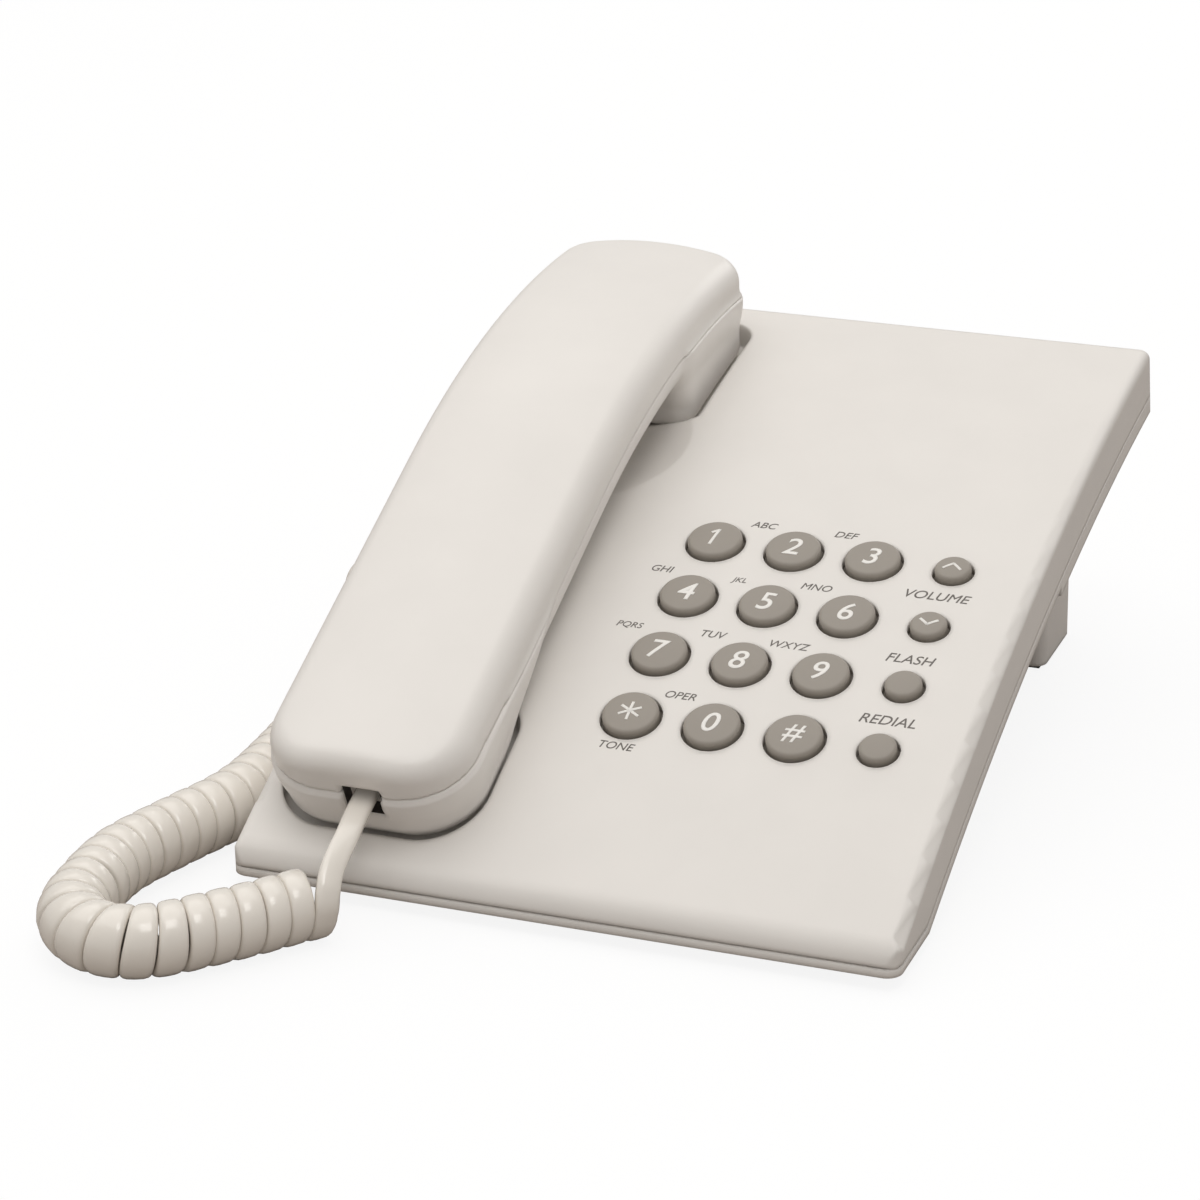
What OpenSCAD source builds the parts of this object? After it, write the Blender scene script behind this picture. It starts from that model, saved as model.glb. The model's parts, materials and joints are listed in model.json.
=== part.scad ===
// Corded desk telephone: an arched wedge base with sixteen round keys, a handset that lies in two
// wells along its left side, and a curly cord from the handset's front end to the base's left side.
// Lengths are millimetres. Pieces are drawn from the line y = 0, z = 0 under the front of the top
// face, and from_front() then centres them on the whole telephone.

/* [Base] */
// Width of the base
base_w = 150; // [146:1:165]
// Depth of the base, from the line y = 0 to the foot of the rear wall
base_d = 201.6; // [200:0.2:206]
// Radius of the arched top face
top_r = 630; // [560:5:760]
// Distance that the rounded front edge stands in front of the line y = 0
front_out = 4.1; // [3.5:0.1:4.6]
// Tilt of the top face over the line y = 0, in degrees
front_tilt = 26.3; // [25:0.1:27.5]
// Height of the top face over the line y = 0
front_h = 11.2; // [11:0.1:12.5]
// Depth of the body under the top face, in its front part
slab_t = 15; // [15:0.1:16]
// Depth of the body under the top face, in its rear part
rear_t = 16.8; // [16.5:0.1:17.6]
// Place of the step between the two depths
step_y = 120; // [112:1:126]
// Lean of the rear wall, in degrees
rear_lean = 10.5; // [8:0.5:14]
// Wall of the upper and lower case
wall = 2.2; // [1.8:0.1:2.4]
// Height of the parting line at the front edge
part_z = 5.1; // [4.9:0.1:5.4]
// Depth of the parting line under the top face
part_depth = 12.4; // [11.8:0.1:12.8]
// Height of the front feet
foot_h = 3.2; // [2.8:0.1:3.4]
// Thickness of the pads under the stand
pad_h = 1; // [0.8:0.1:1.6]
// Height and depth of the groove over the front's parting line
groove = 0.5; // [0.3:0.1:0.7]
// Rounding of the top face's side edges
edge_r = 2.3; // [1.5:0.1:2.8]
// Rounding of the top face's front edge
front_r = 6.5; // [6:0.1:7]
// Rounding of the base's upright corners
corner_r = 3.5; // [2.5:0.1:4.5]

/* [Keypad] */
// Diameter of a dial key
key_d = 13; // [12:0.1:13.4]
// Diameter of a function key
small_key_d = 8.7; // [7.6:0.1:9.4]
// Gap round a key in its hole
key_gap = 0.5; // [0.3:0.05:0.6]
// Bevel round the rim of a key's hole
key_bevel = 0.4; // [0.2:0.1:0.6]
// Column pitch of the keys
key_pitch_x = 18.65; // [18:0.05:19]
// Row pitch of the keys, along the top face
key_pitch_s = 19.55; // [18.8:0.05:20]
// Distance of the bottom row from the front edge, along the top face
keypad_s = 47.7; // [46:0.1:49]
// Distance of the function keys' column from the right side of the base
keypad_side = 19.3; // [18:0.1:21]
// Height of a key's rim over the top face
key_proud = 1.5; // [1.1:0.1:1.8]
// Height of a key's crown over its rim
key_dome = 0.5; // [0.3:0.1:0.8]
// Travel of a key
key_travel = 1.5; // [1:0.1:1.6]

/* [Wells] */
// Depth of the front well, which holds the mouthpiece
front_well_t = 4.5; // [4:0.1:4.8]
// Depth of the rear well, which holds the earpiece
rear_well_t = 5.5; // [5:0.1:5.8]
// Rear edge of the front well
front_well_y1 = 44; // [42:0.5:46]
// Front edge of the front well
front_well_y0 = 4.6; // [4.2:0.1:5]
// Front edge of the rear well
rear_well_y = 144; // [143:0.5:145]
// Gap between the handset and the wells' walls
well_gap = 0.6; // [0.5:0.1:0.8]
// Extra width of the rear well on its right side
rear_well_side = 2.3; // [1.5:0.1:3]
// Radius of the round dish for the fingers under the grip
dish_r = 81; // [76:1:90]
// Depth of the finger dish
dish_t = 5; // [4:0.1:5.2]
// Centre of the finger dish
dish_y = 132; // [129:1:135]

/* [Handset] */
// Width of the handset
handset_w = 46.7; // [45.5:0.1:47]
// Gap between the handset's left side and the left side of the base
handset_side = 4.6; // [4.2:0.1:5.2]
// Length of the handset, from where its front end meets the top face's plane
handset_l = 185.6; // [183:0.2:186]
// Overhang of the handset's front end over the front well's edge
handset_nose = 0.2; // [0:0.1:1]
// Rounding of the front end, seen from above
handset_front_r = 15; // [12:0.5:17]
// Rounding of the rear end, seen from above
handset_rear_r = 8; // [6:0.5:10]
// Tilt of the straight front part of the handset, in degrees
grip_tilt = 23.3; // [22.5:0.1:24]
// Place where the straight part runs into the arch
grip_bend_y = 85; // [82:0.5:88]
// Height of the handset's ridge over the top face at that place
grip_rise = 23.1; // [22.6:0.1:24]
// Radius of the handset's arch
grip_r = 230; // [224:2:250]
// Height of the handset's crown over its ridges
crown_h = 3.2; // [2.4:0.1:4]
// Rounding of the ridges
ridge_r = 4; // [3:0.1:5]
// Depth of the handset's parting line under the ridge
seam_t = 8.2; // [8:0.1:9]
// Depth of the grip's underside under the parting line
grip_under_t = 8; // [7:0.1:9]
// Wall of the handset shells
shell_t = 2; // [1.6:0.1:2.2]
// Rounding of the handset's front top edge
nose_r = 4; // [3:0.1:5]
// Radius of the bow from that edge down to the underside of the mouthpiece
nose_bow_r = 120; // [90:5:160]
// Rounding of the handset's rear top edge
tail_r = 4; // [3:0.5:6]

/* [Hook] */
// Travel of the hook button
hook_travel = 3; // [2.5:0.1:3.4]
// Diameter of the hook button
hook_d = 6; // [5:0.1:7]

/* [Stand] */
// Front face of the stand
stand_y = 163; // [160:1:166]
// Depth of the stand, front to rear
stand_d = 24.5; // [22:0.5:26]
// Gap between the stand's side and the side of the base
stand_side = 14.8; // [12:0.1:18]
// Wall of the stand
stand_t = 2.5; // [2:0.1:3]

/* [Jacks and cord] */
// Width of a cord plug
plug_w = 7.7; // [7.5:0.05:7.9]
// Height of a cord plug
plug_h = 6.5; // [6.3:0.05:6.7]
// Length of a cord plug
plug_l = 12; // [11:0.5:13]
// Clearance round a plug in its jack
plug_gap = 0.15; // [0.1:0.01:0.2]
// Wall of a jack
jack_t = 1.3; // [1:0.1:1.6]
// Place of the cord's jack along the left side
cord_jack_y = 88; // [84:1:92]
// Place of the line jack across the rear wall, from the right side
line_jack_side = 34; // [28:1:40]
// Width of the line jack's opening
line_jack_w = 9.8; // [9.7:0.05:10]
// Height of the line jack's opening
line_jack_h = 6.9; // [6.8:0.05:7]
// Thickness of the cord
cord_d = 3.2; // [2.8:0.1:3.3]
// Outer diameter of the curls
curl_d = 15.6; // [15.2:0.1:16]
// Pitch of the curls
curl_pitch = 6.6; // [6.5:0.1:7]

/* [Hidden] */

case_colour = [0.87, 0.85, 0.82];
key_colour = [0.57, 0.54, 0.50];
cord_colour = [0.85, 0.82, 0.77];
steel_colour = [0.62, 0.63, 0.65];
board_colour = [0.12, 0.36, 0.20];
dark_colour = [0.12, 0.12, 0.13];
mat_colour = [0.75, 0.77, 0.78];
sleeve_colour = [0.15, 0.2, 0.45];

// Fineness of the wide arcs, of ordinary rounds and of small rounds
sweep_fn = 360;
round_fn = 48;
key_fn = 24;
small_fn = 16;
// A length longer than the telephone, for cuts
far = 400;

// Centre of the arched top face
arc_y = top_r * sin(front_tilt);
arc_z = front_h - top_r * cos(front_tilt);

// Height and tilt of the surface that lies depth under the top face
function top_z(y, depth = 0) = arc_z + sqrt(pow(top_r - depth, 2) - pow(arc_y - y, 2));
function top_tilt(y) = asin((arc_y - y) / top_r);
function tilt_at(s) = front_tilt - s * 180 / (PI * top_r);
function s_of(y) = (front_tilt - top_tilt(y)) * PI * top_r / 180;

// Height of the mouthpiece's underside at its front, from the ridge
nose_floor_h = -22.9;
// Gaps under the handset's front block and over the rear well's floor
block_gap = 0.4;
hook_gap = 1;

// Handset: its place, its arch and the heights of its ridge
handset_x = -base_w / 2 + handset_side + handset_w / 2;
handset_y = front_well_y0 - handset_nose;
handset_end = handset_y + handset_l;
grip_bend_z = top_z(grip_bend_y) + grip_rise;
grip_arc_y = grip_bend_y + grip_r * sin(grip_tilt);
grip_arc_z = grip_bend_z - grip_r * cos(grip_tilt);
// Front end of the handset, measured along its straight part from the bend
nose_a = (handset_y - grip_bend_y) * cos(grip_tilt)
    + (top_z(handset_y) - grip_bend_z) * sin(grip_tilt);
tip_y = grip_bend_y + (nose_a + nose_r) * cos(grip_tilt) - (crown_h - nose_r) * sin(grip_tilt)
    - nose_r;
function ridge_z(y) = y < grip_bend_y ? grip_bend_z - (grip_bend_y - y) * tan(grip_tilt)
    : grip_arc_z + sqrt(pow(grip_r, 2) - pow(grip_arc_y - y, 2));

// ---------------------------------------------------------------- shared shapes

// Moves a piece drawn from the base's front edge to the centre of the whole telephone, which
// reaches from its front edge, or the handset's tip, to the foot of the rear wall
module from_front() {
    translate([0, -(base_d + min(-front_out, tip_y)) / 2, 0]) children();
}

// Stands children on the top face at x and at s along the arch, with +Z along its normal
module on_top(x, s) {
    translate([x, arc_y, arc_z]) rotate([tilt_at(s), 0, 0]) translate([0, 0, top_r]) children();
}

// Extrudes a side view, drawn in Y and Z, across the width w
module across(w) {
    rotate([90, 0, 90]) translate([0, 0, -w / 2]) linear_extrude(w) children();
}

// Rectangle with round corners
module round_rect(w, d, r) {
    square([w - 2 * r, d], center = true);
    square([w, d - 2 * r], center = true);
    for (x = [-1, 1], y = [-1, 1])
        translate([x * (w / 2 - r), y * (d / 2 - r)]) circle(r, $fn = round_fn);
}

// Box centred across X and Y that stands on z = 0
module block(w, d, h) {
    translate([-w / 2, -d / 2, 0]) cube([w, d, h]);
}

// Disc of the case's arch, depth under the top face, as a side view
module arch_disc(depth) {
    translate([arc_y, arc_z]) circle(top_r - depth, $fn = 720);
}

// ---------------------------------------------------------------- case

// Line of the leaning rear wall: its y at the height z
heel_z = top_z(base_d, rear_t);
function rear_y(z) = base_d - (z - heel_z) * tan(rear_lean);

// Side view of the case drawn in by inset, from the height bottom: walls, stepped underside
module case_side(inset, bottom) {
    difference() {
        polygon([
            [inset - front_out, bottom],
            [rear_y(bottom) - inset, bottom],
            [rear_y(far / 4) - inset, far / 4],
            [inset - front_out, far / 4]
        ]);
        intersection() {
            arch_disc(slab_t - inset);
            translate([-far, 0]) square([far + step_y + inset, far]);
        }
        arch_disc(rear_t - inset);
    }
}

// Corner that the rounded front edge takes away, as a side view
module front_corner() {
    mid_y = front_r - front_out;
    mid_z = top_z(mid_y, front_r);
    lean = asin((arc_y - mid_y) / (top_r - front_r));
    difference() {
        polygon([
            [-front_out - 1, mid_z],
            [mid_y, mid_z],
            [mid_y - 2 * front_r * sin(lean), mid_z + 2 * front_r * cos(lean)],
            [-front_out - 1, mid_z + 3 * front_r]
        ]);
        translate([mid_y, mid_z]) circle(front_r, $fn = round_fn);
    }
}

// Section of the case across its width: radius along X, width along Y
module case_section() {
    translate([top_r - far / 4, -base_w / 2]) square([far / 4 - edge_r, base_w]);
    translate([top_r - far / 4, -base_w / 2 + edge_r]) square([far / 4, base_w - 2 * edge_r]);
    for (side = [-1, 1])
        translate([top_r - edge_r, side * (base_w / 2 - edge_r)]) circle(edge_r, $fn = small_fn);
}

// The closed outside of the whole case
module case_solid() {
    intersection() {
        translate([0, arc_y, arc_z]) rotate([0, -90, 0]) rotate([0, 0, -front_tilt - 2])
            rotate_extrude(angle = front_tilt, $fn = sweep_fn) case_section();
        across(base_w + 2) difference() {
            case_side(0, foot_h);
            front_corner();
        }
        translate([0, (base_d - front_out) / 2, 0]) linear_extrude(far / 4)
            round_rect(base_w, base_d + front_out, corner_r);
    }
}

// The hollow inside the case
module case_hollow() {
    across(base_w - 2 * wall) intersection() {
        case_side(wall, part_z);
        arch_disc(wall);
    }
}

// Everything above the parting line
module above_parting() {
    across(far) difference() {
        translate([-far / 4, part_z]) square([far, far]);
        arch_disc(part_depth);
    }
}

// Groove in the outside of the upper case, over the level parting line round its front
module parting_groove() {
    translate([0, base_d / 2, part_z]) difference() {
        block(far, far, groove);
        translate([0, groove - front_out, 0])
            block(base_w - 2 * groove, base_d, far);
    }
}

// Outline seen from above, front_r and rear_r at its corners
module long_plan(w, y0, y1, front_r, rear_r) {
    translate([handset_x, 0]) {
        translate([-w / 2, y0 + front_r]) square([w, y1 - y0 - front_r - rear_r]);
        translate([front_r - w / 2, y0]) square([w - 2 * front_r, y1 - y0 - rear_r]);
        translate([rear_r - w / 2, y1 - rear_r - 1]) square([w - 2 * rear_r, rear_r + 1]);
        for (side = [-1, 1]) {
            translate([side * (w / 2 - front_r), y0 + front_r]) circle(front_r, $fn = round_fn);
            translate([side * (w / 2 - rear_r), y1 - rear_r]) circle(rear_r, $fn = round_fn);
        }
    }
}

// The two wells that hold the handset's ends: depth and outline grow together for their walls.
// The front well's corners are drawn tighter than the handset's, which leaves them room there.
module wells(grow) {
    w = handset_w + 2 * (well_gap + grow);
    y0 = front_well_y0 - grow;
    y1 = handset_end + well_gap + grow;
    front_r = handset_front_r - 2 * well_gap + grow;
    rear_r = handset_rear_r + grow;
    intersection() {
        linear_extrude(far / 4) long_plan(w, y0, front_well_y1 + grow, front_r, 10 + grow);
        across(far) difference() {
            square([front_well_y1 + grow, far]);
            arch_disc(front_well_t + grow);
        }
    }
    intersection() {
        linear_extrude(far / 4) for (shift = [0, rear_well_side])
            translate([shift, 0]) long_plan(w, rear_well_y - grow, y1, 3 + grow, rear_r);
        across(far) difference() {
            square([base_d, far]);
            arch_disc(rear_well_t + grow);
        }
    }
}

// The round dish under the grip: its ball, drawn out by grow
module dish(grow) {
    on_top(handset_x, s_of(dish_y)) translate([0, 0, dish_r - dish_t])
        sphere(dish_r + grow, $fn = 2 * round_fn);
}

// Keypad places: column 0 to 2 for the dial keys, 3 for the function keys, row 0 at the front
function key_x(column) = base_w / 2 - keypad_side - (3 - column) * key_pitch_x;
function key_s(row) = keypad_s + row * key_pitch_s;

module at_key(column, row) {
    on_top(key_x(column), key_s(row)) children();
}

// Case screws stand along the case's normal at these places: x, then y from the front edge
screw_places = [
    [key_x(0) - 10, 26], [base_w / 2 - 7.5, 30], [-base_w / 2 + 7.5, 106],
    [base_w / 2 - 7.5, base_d - 13.6]
];
screw_shank_r = 1.25;
screw_head_r = 2.7;
screw_head_h = 1.2;
post_r = 3.4;
function case_t(y) = y < step_y ? slab_t : rear_t;

module at_screws() {
    for (place = screw_places)
        on_top(place[0], s_of(place[1])) translate([0, 0, -case_t(place[1])])
            children();
}

// Boards: each is flat and square to the case's normal at its own middle
board_t = 1.6;
keypad_board_depth = 9.2;
keypad_board_w = 3 * key_pitch_x + 17;
keypad_board_l = 3 * key_pitch_s + 20;
keypad_mid_s = keypad_s + 1.5 * key_pitch_s;
main_board_depth = 8.8;
main_board_l = 44;
main_board_rear = 20.6;
main_board_y = base_d - main_board_rear - main_board_l / 2;
main_board_w = base_w - 2 * wall - 18;

module at_keypad_board() {
    on_top(key_x(1.5), keypad_mid_s) translate([0, 0, -keypad_board_depth]) children();
}

module at_main_board() {
    on_top(0, s_of(main_board_y)) translate([0, 0, -main_board_depth]) children();
}

// Slide switches look out of the rear wall: x of each, then the knob's slot and travel
switch_depth = 7;
knob_w = 3;
knob_h = 2.2;
knob_travel = 2;
knob_gap = 0.25;
ringer_switch_x = 8;
dial_mode_switch_x = -12;

// Stands children on the inside of the rear wall, with +Y square out through it
module at_rear(x, depth) {
    z = top_z(base_d - 2 * wall, depth);
    translate([x, rear_y(z) - wall, z]) rotate([rear_lean, 0, 0]) children();
}

// Cord jack in the left side and line jack in the rear wall
cord_jack_depth = 8;
line_jack_depth = 7.6;
line_jack_l = 13;

module at_cord_jack() {
    on_top(-base_w / 2, s_of(cord_jack_y)) translate([0, 0, -cord_jack_depth])
        rotate([0, 0, 90]) children();
}

module at_line_jack() {
    at_rear(base_w / 2 - line_jack_side, line_jack_depth) children();
}

// Plug, or the room for one, with its cord end on the plane y = 0 and its nose toward -Y
module plug_shape(grow = 0) {
    translate([-plug_w / 2 - grow, -plug_l - grow, -plug_h / 2 - grow])
        cube([plug_w + 2 * grow, plug_l + grow, plug_h + 2 * grow]);
}

module upper_case() {
    color(case_colour) from_front() difference() {
        intersection() {
            case_solid();
            above_parting();
        }
        difference() {
            case_hollow();
            wells(wall);
            dish(wall);
            at_screws() cylinder(far / 4, r = post_r, $fn = key_fn);
        }
        wells(0);
        dish(0);
        parting_groove();
        for (column = [0:2], row = [0:3])
            at_key(column, row) key_hole(key_d / 2 + key_gap);
        for (row = [0:3])
            at_key(3, row) key_hole(small_key_d / 2 + key_gap);
        at_screws() cylinder(case_t(0) - wall - 2, r = screw_shank_r, $fn = key_fn);
        hook_room(hook_d / 2 + 0.4);
        at_cord_jack() translate([0, 1, 0]) plug_shape(plug_gap + 0.2);
        at_line_jack() rear_window(line_jack_w, line_jack_h);
        for (x = [ringer_switch_x, dial_mode_switch_x])
            at_rear(x, switch_depth)
                rear_window(knob_w + 2 * (knob_travel + knob_gap), knob_h + 2 * knob_gap);
    }
}

// Hole through the top of the case, with a bevelled rim
module key_hole(r) {
    cylinder(2 * wall + 4, r = r, center = true, $fn = 2 * key_fn);
    translate([0, 0, -wall])
        cylinder(2 * wall, r + key_bevel - wall, r + key_bevel + wall, $fn = 2 * key_fn);
}

// Window through the rear wall
module rear_window(w, h) {
    translate([-w / 2, -wall, -h / 2]) cube([w, 4 * wall, h]);
}

// Upright shaft of room for the hook button
hook_y = 158;
module hook_room(r) {
    translate([handset_x, hook_y, top_z(hook_y, rear_t)]) cylinder(rear_t, r = r, $fn = key_fn);
}

// Wall slots: the spacing of a telephone's wall plate, square to the underside between them
slot_pitch = 83;
slot_w = 4.4;
slot_l = 9;
slot_x = 0;
slot_mid_y = 98;

module wall_slots() {
    on_top(slot_x, s_of(slot_mid_y)) for (end = [-1, 1])
        translate([0, end * slot_pitch / 2, -far / 8]) linear_extrude(far / 8 - part_depth) {
            square([slot_w, slot_l - slot_w], center = true);
            for (tip = [-1, 1])
                translate([0, tip * (slot_l - slot_w) / 2]) circle(slot_w / 2, $fn = key_fn);
        }
}

// Pegs that carry the two boards
module board_pegs() {
    peg_r = 2;
    at_keypad_board() for (x = [-1, 1], y = [-1, 1])
        translate([x * (keypad_board_w / 2 - 3), y * (keypad_board_l / 2 - 3), -board_t - far / 16])
            cylinder(far / 16, r = peg_r, $fn = small_fn);
    at_main_board() for (x = [-1, 1], y = [-1, 1])
        translate([x * (main_board_w / 2 - 3), y * (main_board_l / 2 - 5), -board_t - far / 16])
            cylinder(far / 16, r = peg_r, $fn = small_fn);
}

// Level pad under the hook spring
module hook_pad() {
    translate([handset_x, hook_y, hook_foot_z - far / 16])
        cylinder(far / 16, r = hook_pad_r, $fn = key_fn);
}

module lower_case() {
    vent_w = 1.6;
    vent_pitch = 4;
    color(case_colour) from_front() difference() {
        case_solid();
        difference() {
            above_parting();
            board_pegs();
        }
        difference() {
            case_hollow();
            at_screws() cylinder(far / 16, r = post_r, $fn = key_fn);
            board_pegs();
            hook_pad();
        }
        at_screws() {
            cylinder(far / 4, r = screw_shank_r + 0.2, center = true, $fn = key_fn);
            translate([0, 0, -far / 8])
                cylinder(far / 8 + screw_head_h, r = screw_head_r + 0.3, $fn = key_fn);
        }
        wall_slots();
        for (i = [-2:2])
            translate([ringer_x + i * vent_pitch - vent_w / 2, ringer_y - 8, 0])
                cube([vent_w, 16, far / 4]);
        stand_catches(0.25);
    }
}

module front_feet() {
    foot_r = 5;
    color(dark_colour) from_front()
        for (side = [-1, 1])
            translate([side * (base_w / 2 - 14), 9, 0]) cylinder(foot_h, r = foot_r, $fn = key_fn);
}

module case_screws() {
    shank_h = 8;
    color(steel_colour) from_front() at_screws() difference() {
        union() {
            cylinder(screw_head_h, r = screw_head_r, $fn = key_fn);
            cylinder(screw_head_h + shank_h, r = screw_shank_r - 0.02, $fn = key_fn);
        }
        cross_slot();
    }
}

// Cross slot in a screw's head
module cross_slot() {
    slot = 0.6;
    for (turn = [0, 90])
        rotate([0, 0, turn]) translate([-1.6, -slot / 2, -0.1]) cube([3.2, slot, 0.8]);
}

// ---------------------------------------------------------------- stand

// Catches that pass up through the lower case
module stand_catches(grow) {
    catch_w = 9;
    catch_x = stand_d + 4;
    catch_l = 1.6;
    catch_h = 1.5;
    intersection() {
        for (side = [-1, 1])
            translate([side * catch_x - catch_w / 2 - grow,
                stand_y + (stand_t - catch_l) / 2 - grow, 0])
                cube([catch_w + 2 * grow, catch_l + 2 * grow, far / 4]);
        across(far) difference() {
            arch_disc(rear_t - wall - catch_h - 2 * grow);
            arch_disc(rear_t + 1);
        }
    }
}

module stand() {
    stand_w = base_w - 2 * stand_side;
    stand_corner_r = 3;
    top_gap = 0.1;
    color(case_colour) from_front() union() {
        difference() {
            intersection() {
                translate([0, stand_y + stand_d / 2, pad_h]) linear_extrude(far / 4)
                    round_rect(stand_w, stand_d, stand_corner_r);
                across(far) arch_disc(rear_t + top_gap);
            }
            translate([0, stand_y + stand_d / 2, pad_h + stand_t])
                block(stand_w - 2 * stand_t, stand_d - 2 * stand_t, far / 4);
        }
        stand_catches(0);
    }
}

module stand_feet() {
    pad_w = 16;
    pad_inset = 1.5;
    color(dark_colour) from_front()
        for (side = [-1, 1])
            translate([side * (base_w / 2 - stand_side - pad_w / 2 - pad_inset),
                stand_y + stand_d / 2, 0])
                block(pad_w, stand_d - 2 * pad_inset, pad_h);
}

// ---------------------------------------------------------------- inside the base

module keypad_board() {
    color(board_colour) from_front() at_keypad_board()
        translate([0, 0, -board_t]) block(keypad_board_w, keypad_board_l, board_t);
}

// Rubber mat: a flat sheet on the keypad board, with a hollow bell under each key
key_flange_t = 0.9;
key_flange_depth = wall + 0.35 + key_flange_t;
key_stem_r = 2.4;
bell_gap = 0.25;
module keypad_mat() {
    sheet_t = 1.5;
    bell_floor = 6.7;
    bell_foot = 8;
    bell_top = key_flange_depth + key_travel + bell_gap;
    color(mat_colour) from_front() difference() {
        union() {
            at_keypad_board() block(keypad_board_w - 2, keypad_board_l - 2, sheet_t);
            for (column = [0:3], row = [0:3])
                at_key(column, row) translate([0, 0, -bell_foot])
                    cylinder(bell_foot - bell_top, r = 4.1, $fn = 2 * key_fn);
        }
        for (column = [0:3], row = [0:3])
            at_key(column, row) translate([0, 0, -bell_floor])
                cylinder(far / 16, r = key_stem_r + 0.5, $fn = 2 * key_fn);
    }
}

module main_board() {
    color(board_colour) from_front() difference() {
        at_main_board() translate([0, 0, -board_t]) block(main_board_w, main_board_l, board_t);
        translate([handset_x, hook_y, 0]) cylinder(far, r = hook_flange_r + 1, $fn = key_fn);
    }
}

module line_transformer() {
    color(dark_colour) from_front() at_main_board()
        translate([main_board_w / 2 - 11.8, 10 - main_board_l / 2, 0]) {
        block(14, 12, 5);
        translate([0, 0, 1]) block(17, 7, 3);
    }
}

module speech_chip() {
    color(dark_colour) from_front() at_main_board() translate([22, -10, 0.4]) {
        block(18, 6.5, 3);
        for (i = [-3:3], side = [-1, 1])
            translate([i * 2.54, side * 3.6, -0.4]) block(0.6, 1, 1.6);
    }
}

module capacitors() {
    color(sleeve_colour) from_front() at_main_board()
        for (place = [[2, -14, 2.6], [9, -14, 2.6], [36, -14, 2.9], [36, -5, 2.2]])
            translate([place[0], place[1], 0]) cylinder(5.2, r = place[2], $fn = small_fn);
}

ringer_x = 30;
ringer_y = 142;
module ringer() {
    color(steel_colour) from_front() on_top(ringer_x, s_of(ringer_y))
        translate([0, 0, -rear_t + wall]) difference() {
            cylinder(3.4, r = 11, $fn = 2 * key_fn);
            translate([0, 0, -1]) cylinder(3.4, r = 9.5, $fn = 2 * key_fn);
            translate([0, 0, 1]) cylinder(3.4, r = 2, $fn = key_fn);
        }
}

ballast_y = 62;
module ballast_plate() {
    color(steel_colour) from_front() on_top(handset_x, s_of(ballast_y))
        translate([0, 0, -slab_t + wall + 0.05]) block(36, 34, 3);
}

// Jack body with its mouth on the plane y = 0 and the plug's room toward -Y
module jack(w, h, l) {
    difference() {
        translate([-w / 2 - jack_t, -l - jack_t, -h / 2 - jack_t])
            cube([w + 2 * jack_t, l + jack_t, h + 2 * jack_t]);
        translate([-w / 2, -l, -h / 2]) cube([w, l + 1, h]);
    }
    for (i = [-1.5:1.5])
        translate([i * 1.1 - 0.2, -l, h / 2 - 0.6]) cube([0.4, 0.8, 0.6 + jack_t / 2]);
}

module line_jack() {
    color(dark_colour) from_front() at_line_jack() jack(line_jack_w, line_jack_h - 0.4, line_jack_l);
}

// The cord jack's mouth is flush with the inside of the case's left wall
module cord_jack() {
    color(dark_colour) from_front() at_cord_jack() translate([0, -wall, 0])
        jack(plug_w + 2 * plug_gap, plug_h + 2 * plug_gap, plug_l);
}

// Hook button: a round stem that stands in the rear well, under the earpiece, on its spring
hook_flange_r = 4;
hook_flange_t = 0.8;
hook_pad_r = 3.6;
hook_top_z = top_z(hook_y, rear_well_t - hook_gap) - 0.8;
hook_flange_z = top_z(hook_y - hook_flange_r, rear_well_t + wall) - hook_travel - hook_flange_t - 0.2;
hook_foot_z = top_z(hook_y + hook_pad_r, rear_t - wall) + 0.1;

module hook_button() {
    color(case_colour) from_front() translate([handset_x, hook_y, hook_flange_z]) {
        cylinder(hook_top_z - hook_flange_z, d = hook_d, $fn = key_fn);
        cylinder(hook_flange_t, r = hook_flange_r, $fn = key_fn);
    }
}

module hook_spring() {
    color(steel_colour) from_front() translate([handset_x, hook_y, hook_foot_z]) difference() {
        cylinder(hook_flange_z - hook_foot_z, r = 2.8, $fn = key_fn);
        translate([0, 0, -1]) cylinder(far / 8, r = 2.2, $fn = key_fn);
    }
}

// Switch on the underside of the main board, with a blade under the button's flange
module hook_switch() {
    switch_y = hook_y - main_board_y + 12;
    blade_t = 0.3;
    color(dark_colour) from_front() {
        at_main_board() translate([handset_x, switch_y, -board_t - 3.4]) block(9, 7, 3.4);
        translate([handset_x - 1.5, hook_y + hook_flange_r, hook_flange_z - 0.05])
            rotate([top_tilt(hook_y), 0, 0]) translate([0, -0.8, -blade_t])
                cube([3, 8.5, blade_t]);
    }
}

// Slide switch body and its knob, which looks out through the rear wall
module slide_switch(x) {
    w = 11;
    h = 4.6;
    color(steel_colour) from_front() at_rear(x, switch_depth) difference() {
        translate([-w / 2, -5.2, -h / 2]) cube([w, 5, h]);
        translate([-knob_w / 2 - knob_travel - knob_gap, -3.4, -knob_h / 2 - knob_gap])
            cube([knob_w + 2 * (knob_travel + knob_gap), 4, knob_h + 2 * knob_gap]);
    }
}

module slide_knob(x) {
    color(dark_colour) from_front() at_rear(x, switch_depth)
        translate([-knob_w / 2, -3, -knob_h / 2]) cube([knob_w, wall + 3.8, knob_h]);
}

module ringer_switch() {
    slide_switch(ringer_switch_x);
}

module ringer_knob() {
    slide_knob(ringer_switch_x);
}

module dial_mode_switch() {
    slide_switch(dial_mode_switch_x);
}

module dial_mode_knob() {
    slide_knob(dial_mode_switch_x);
}

// ---------------------------------------------------------------- keys

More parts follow.
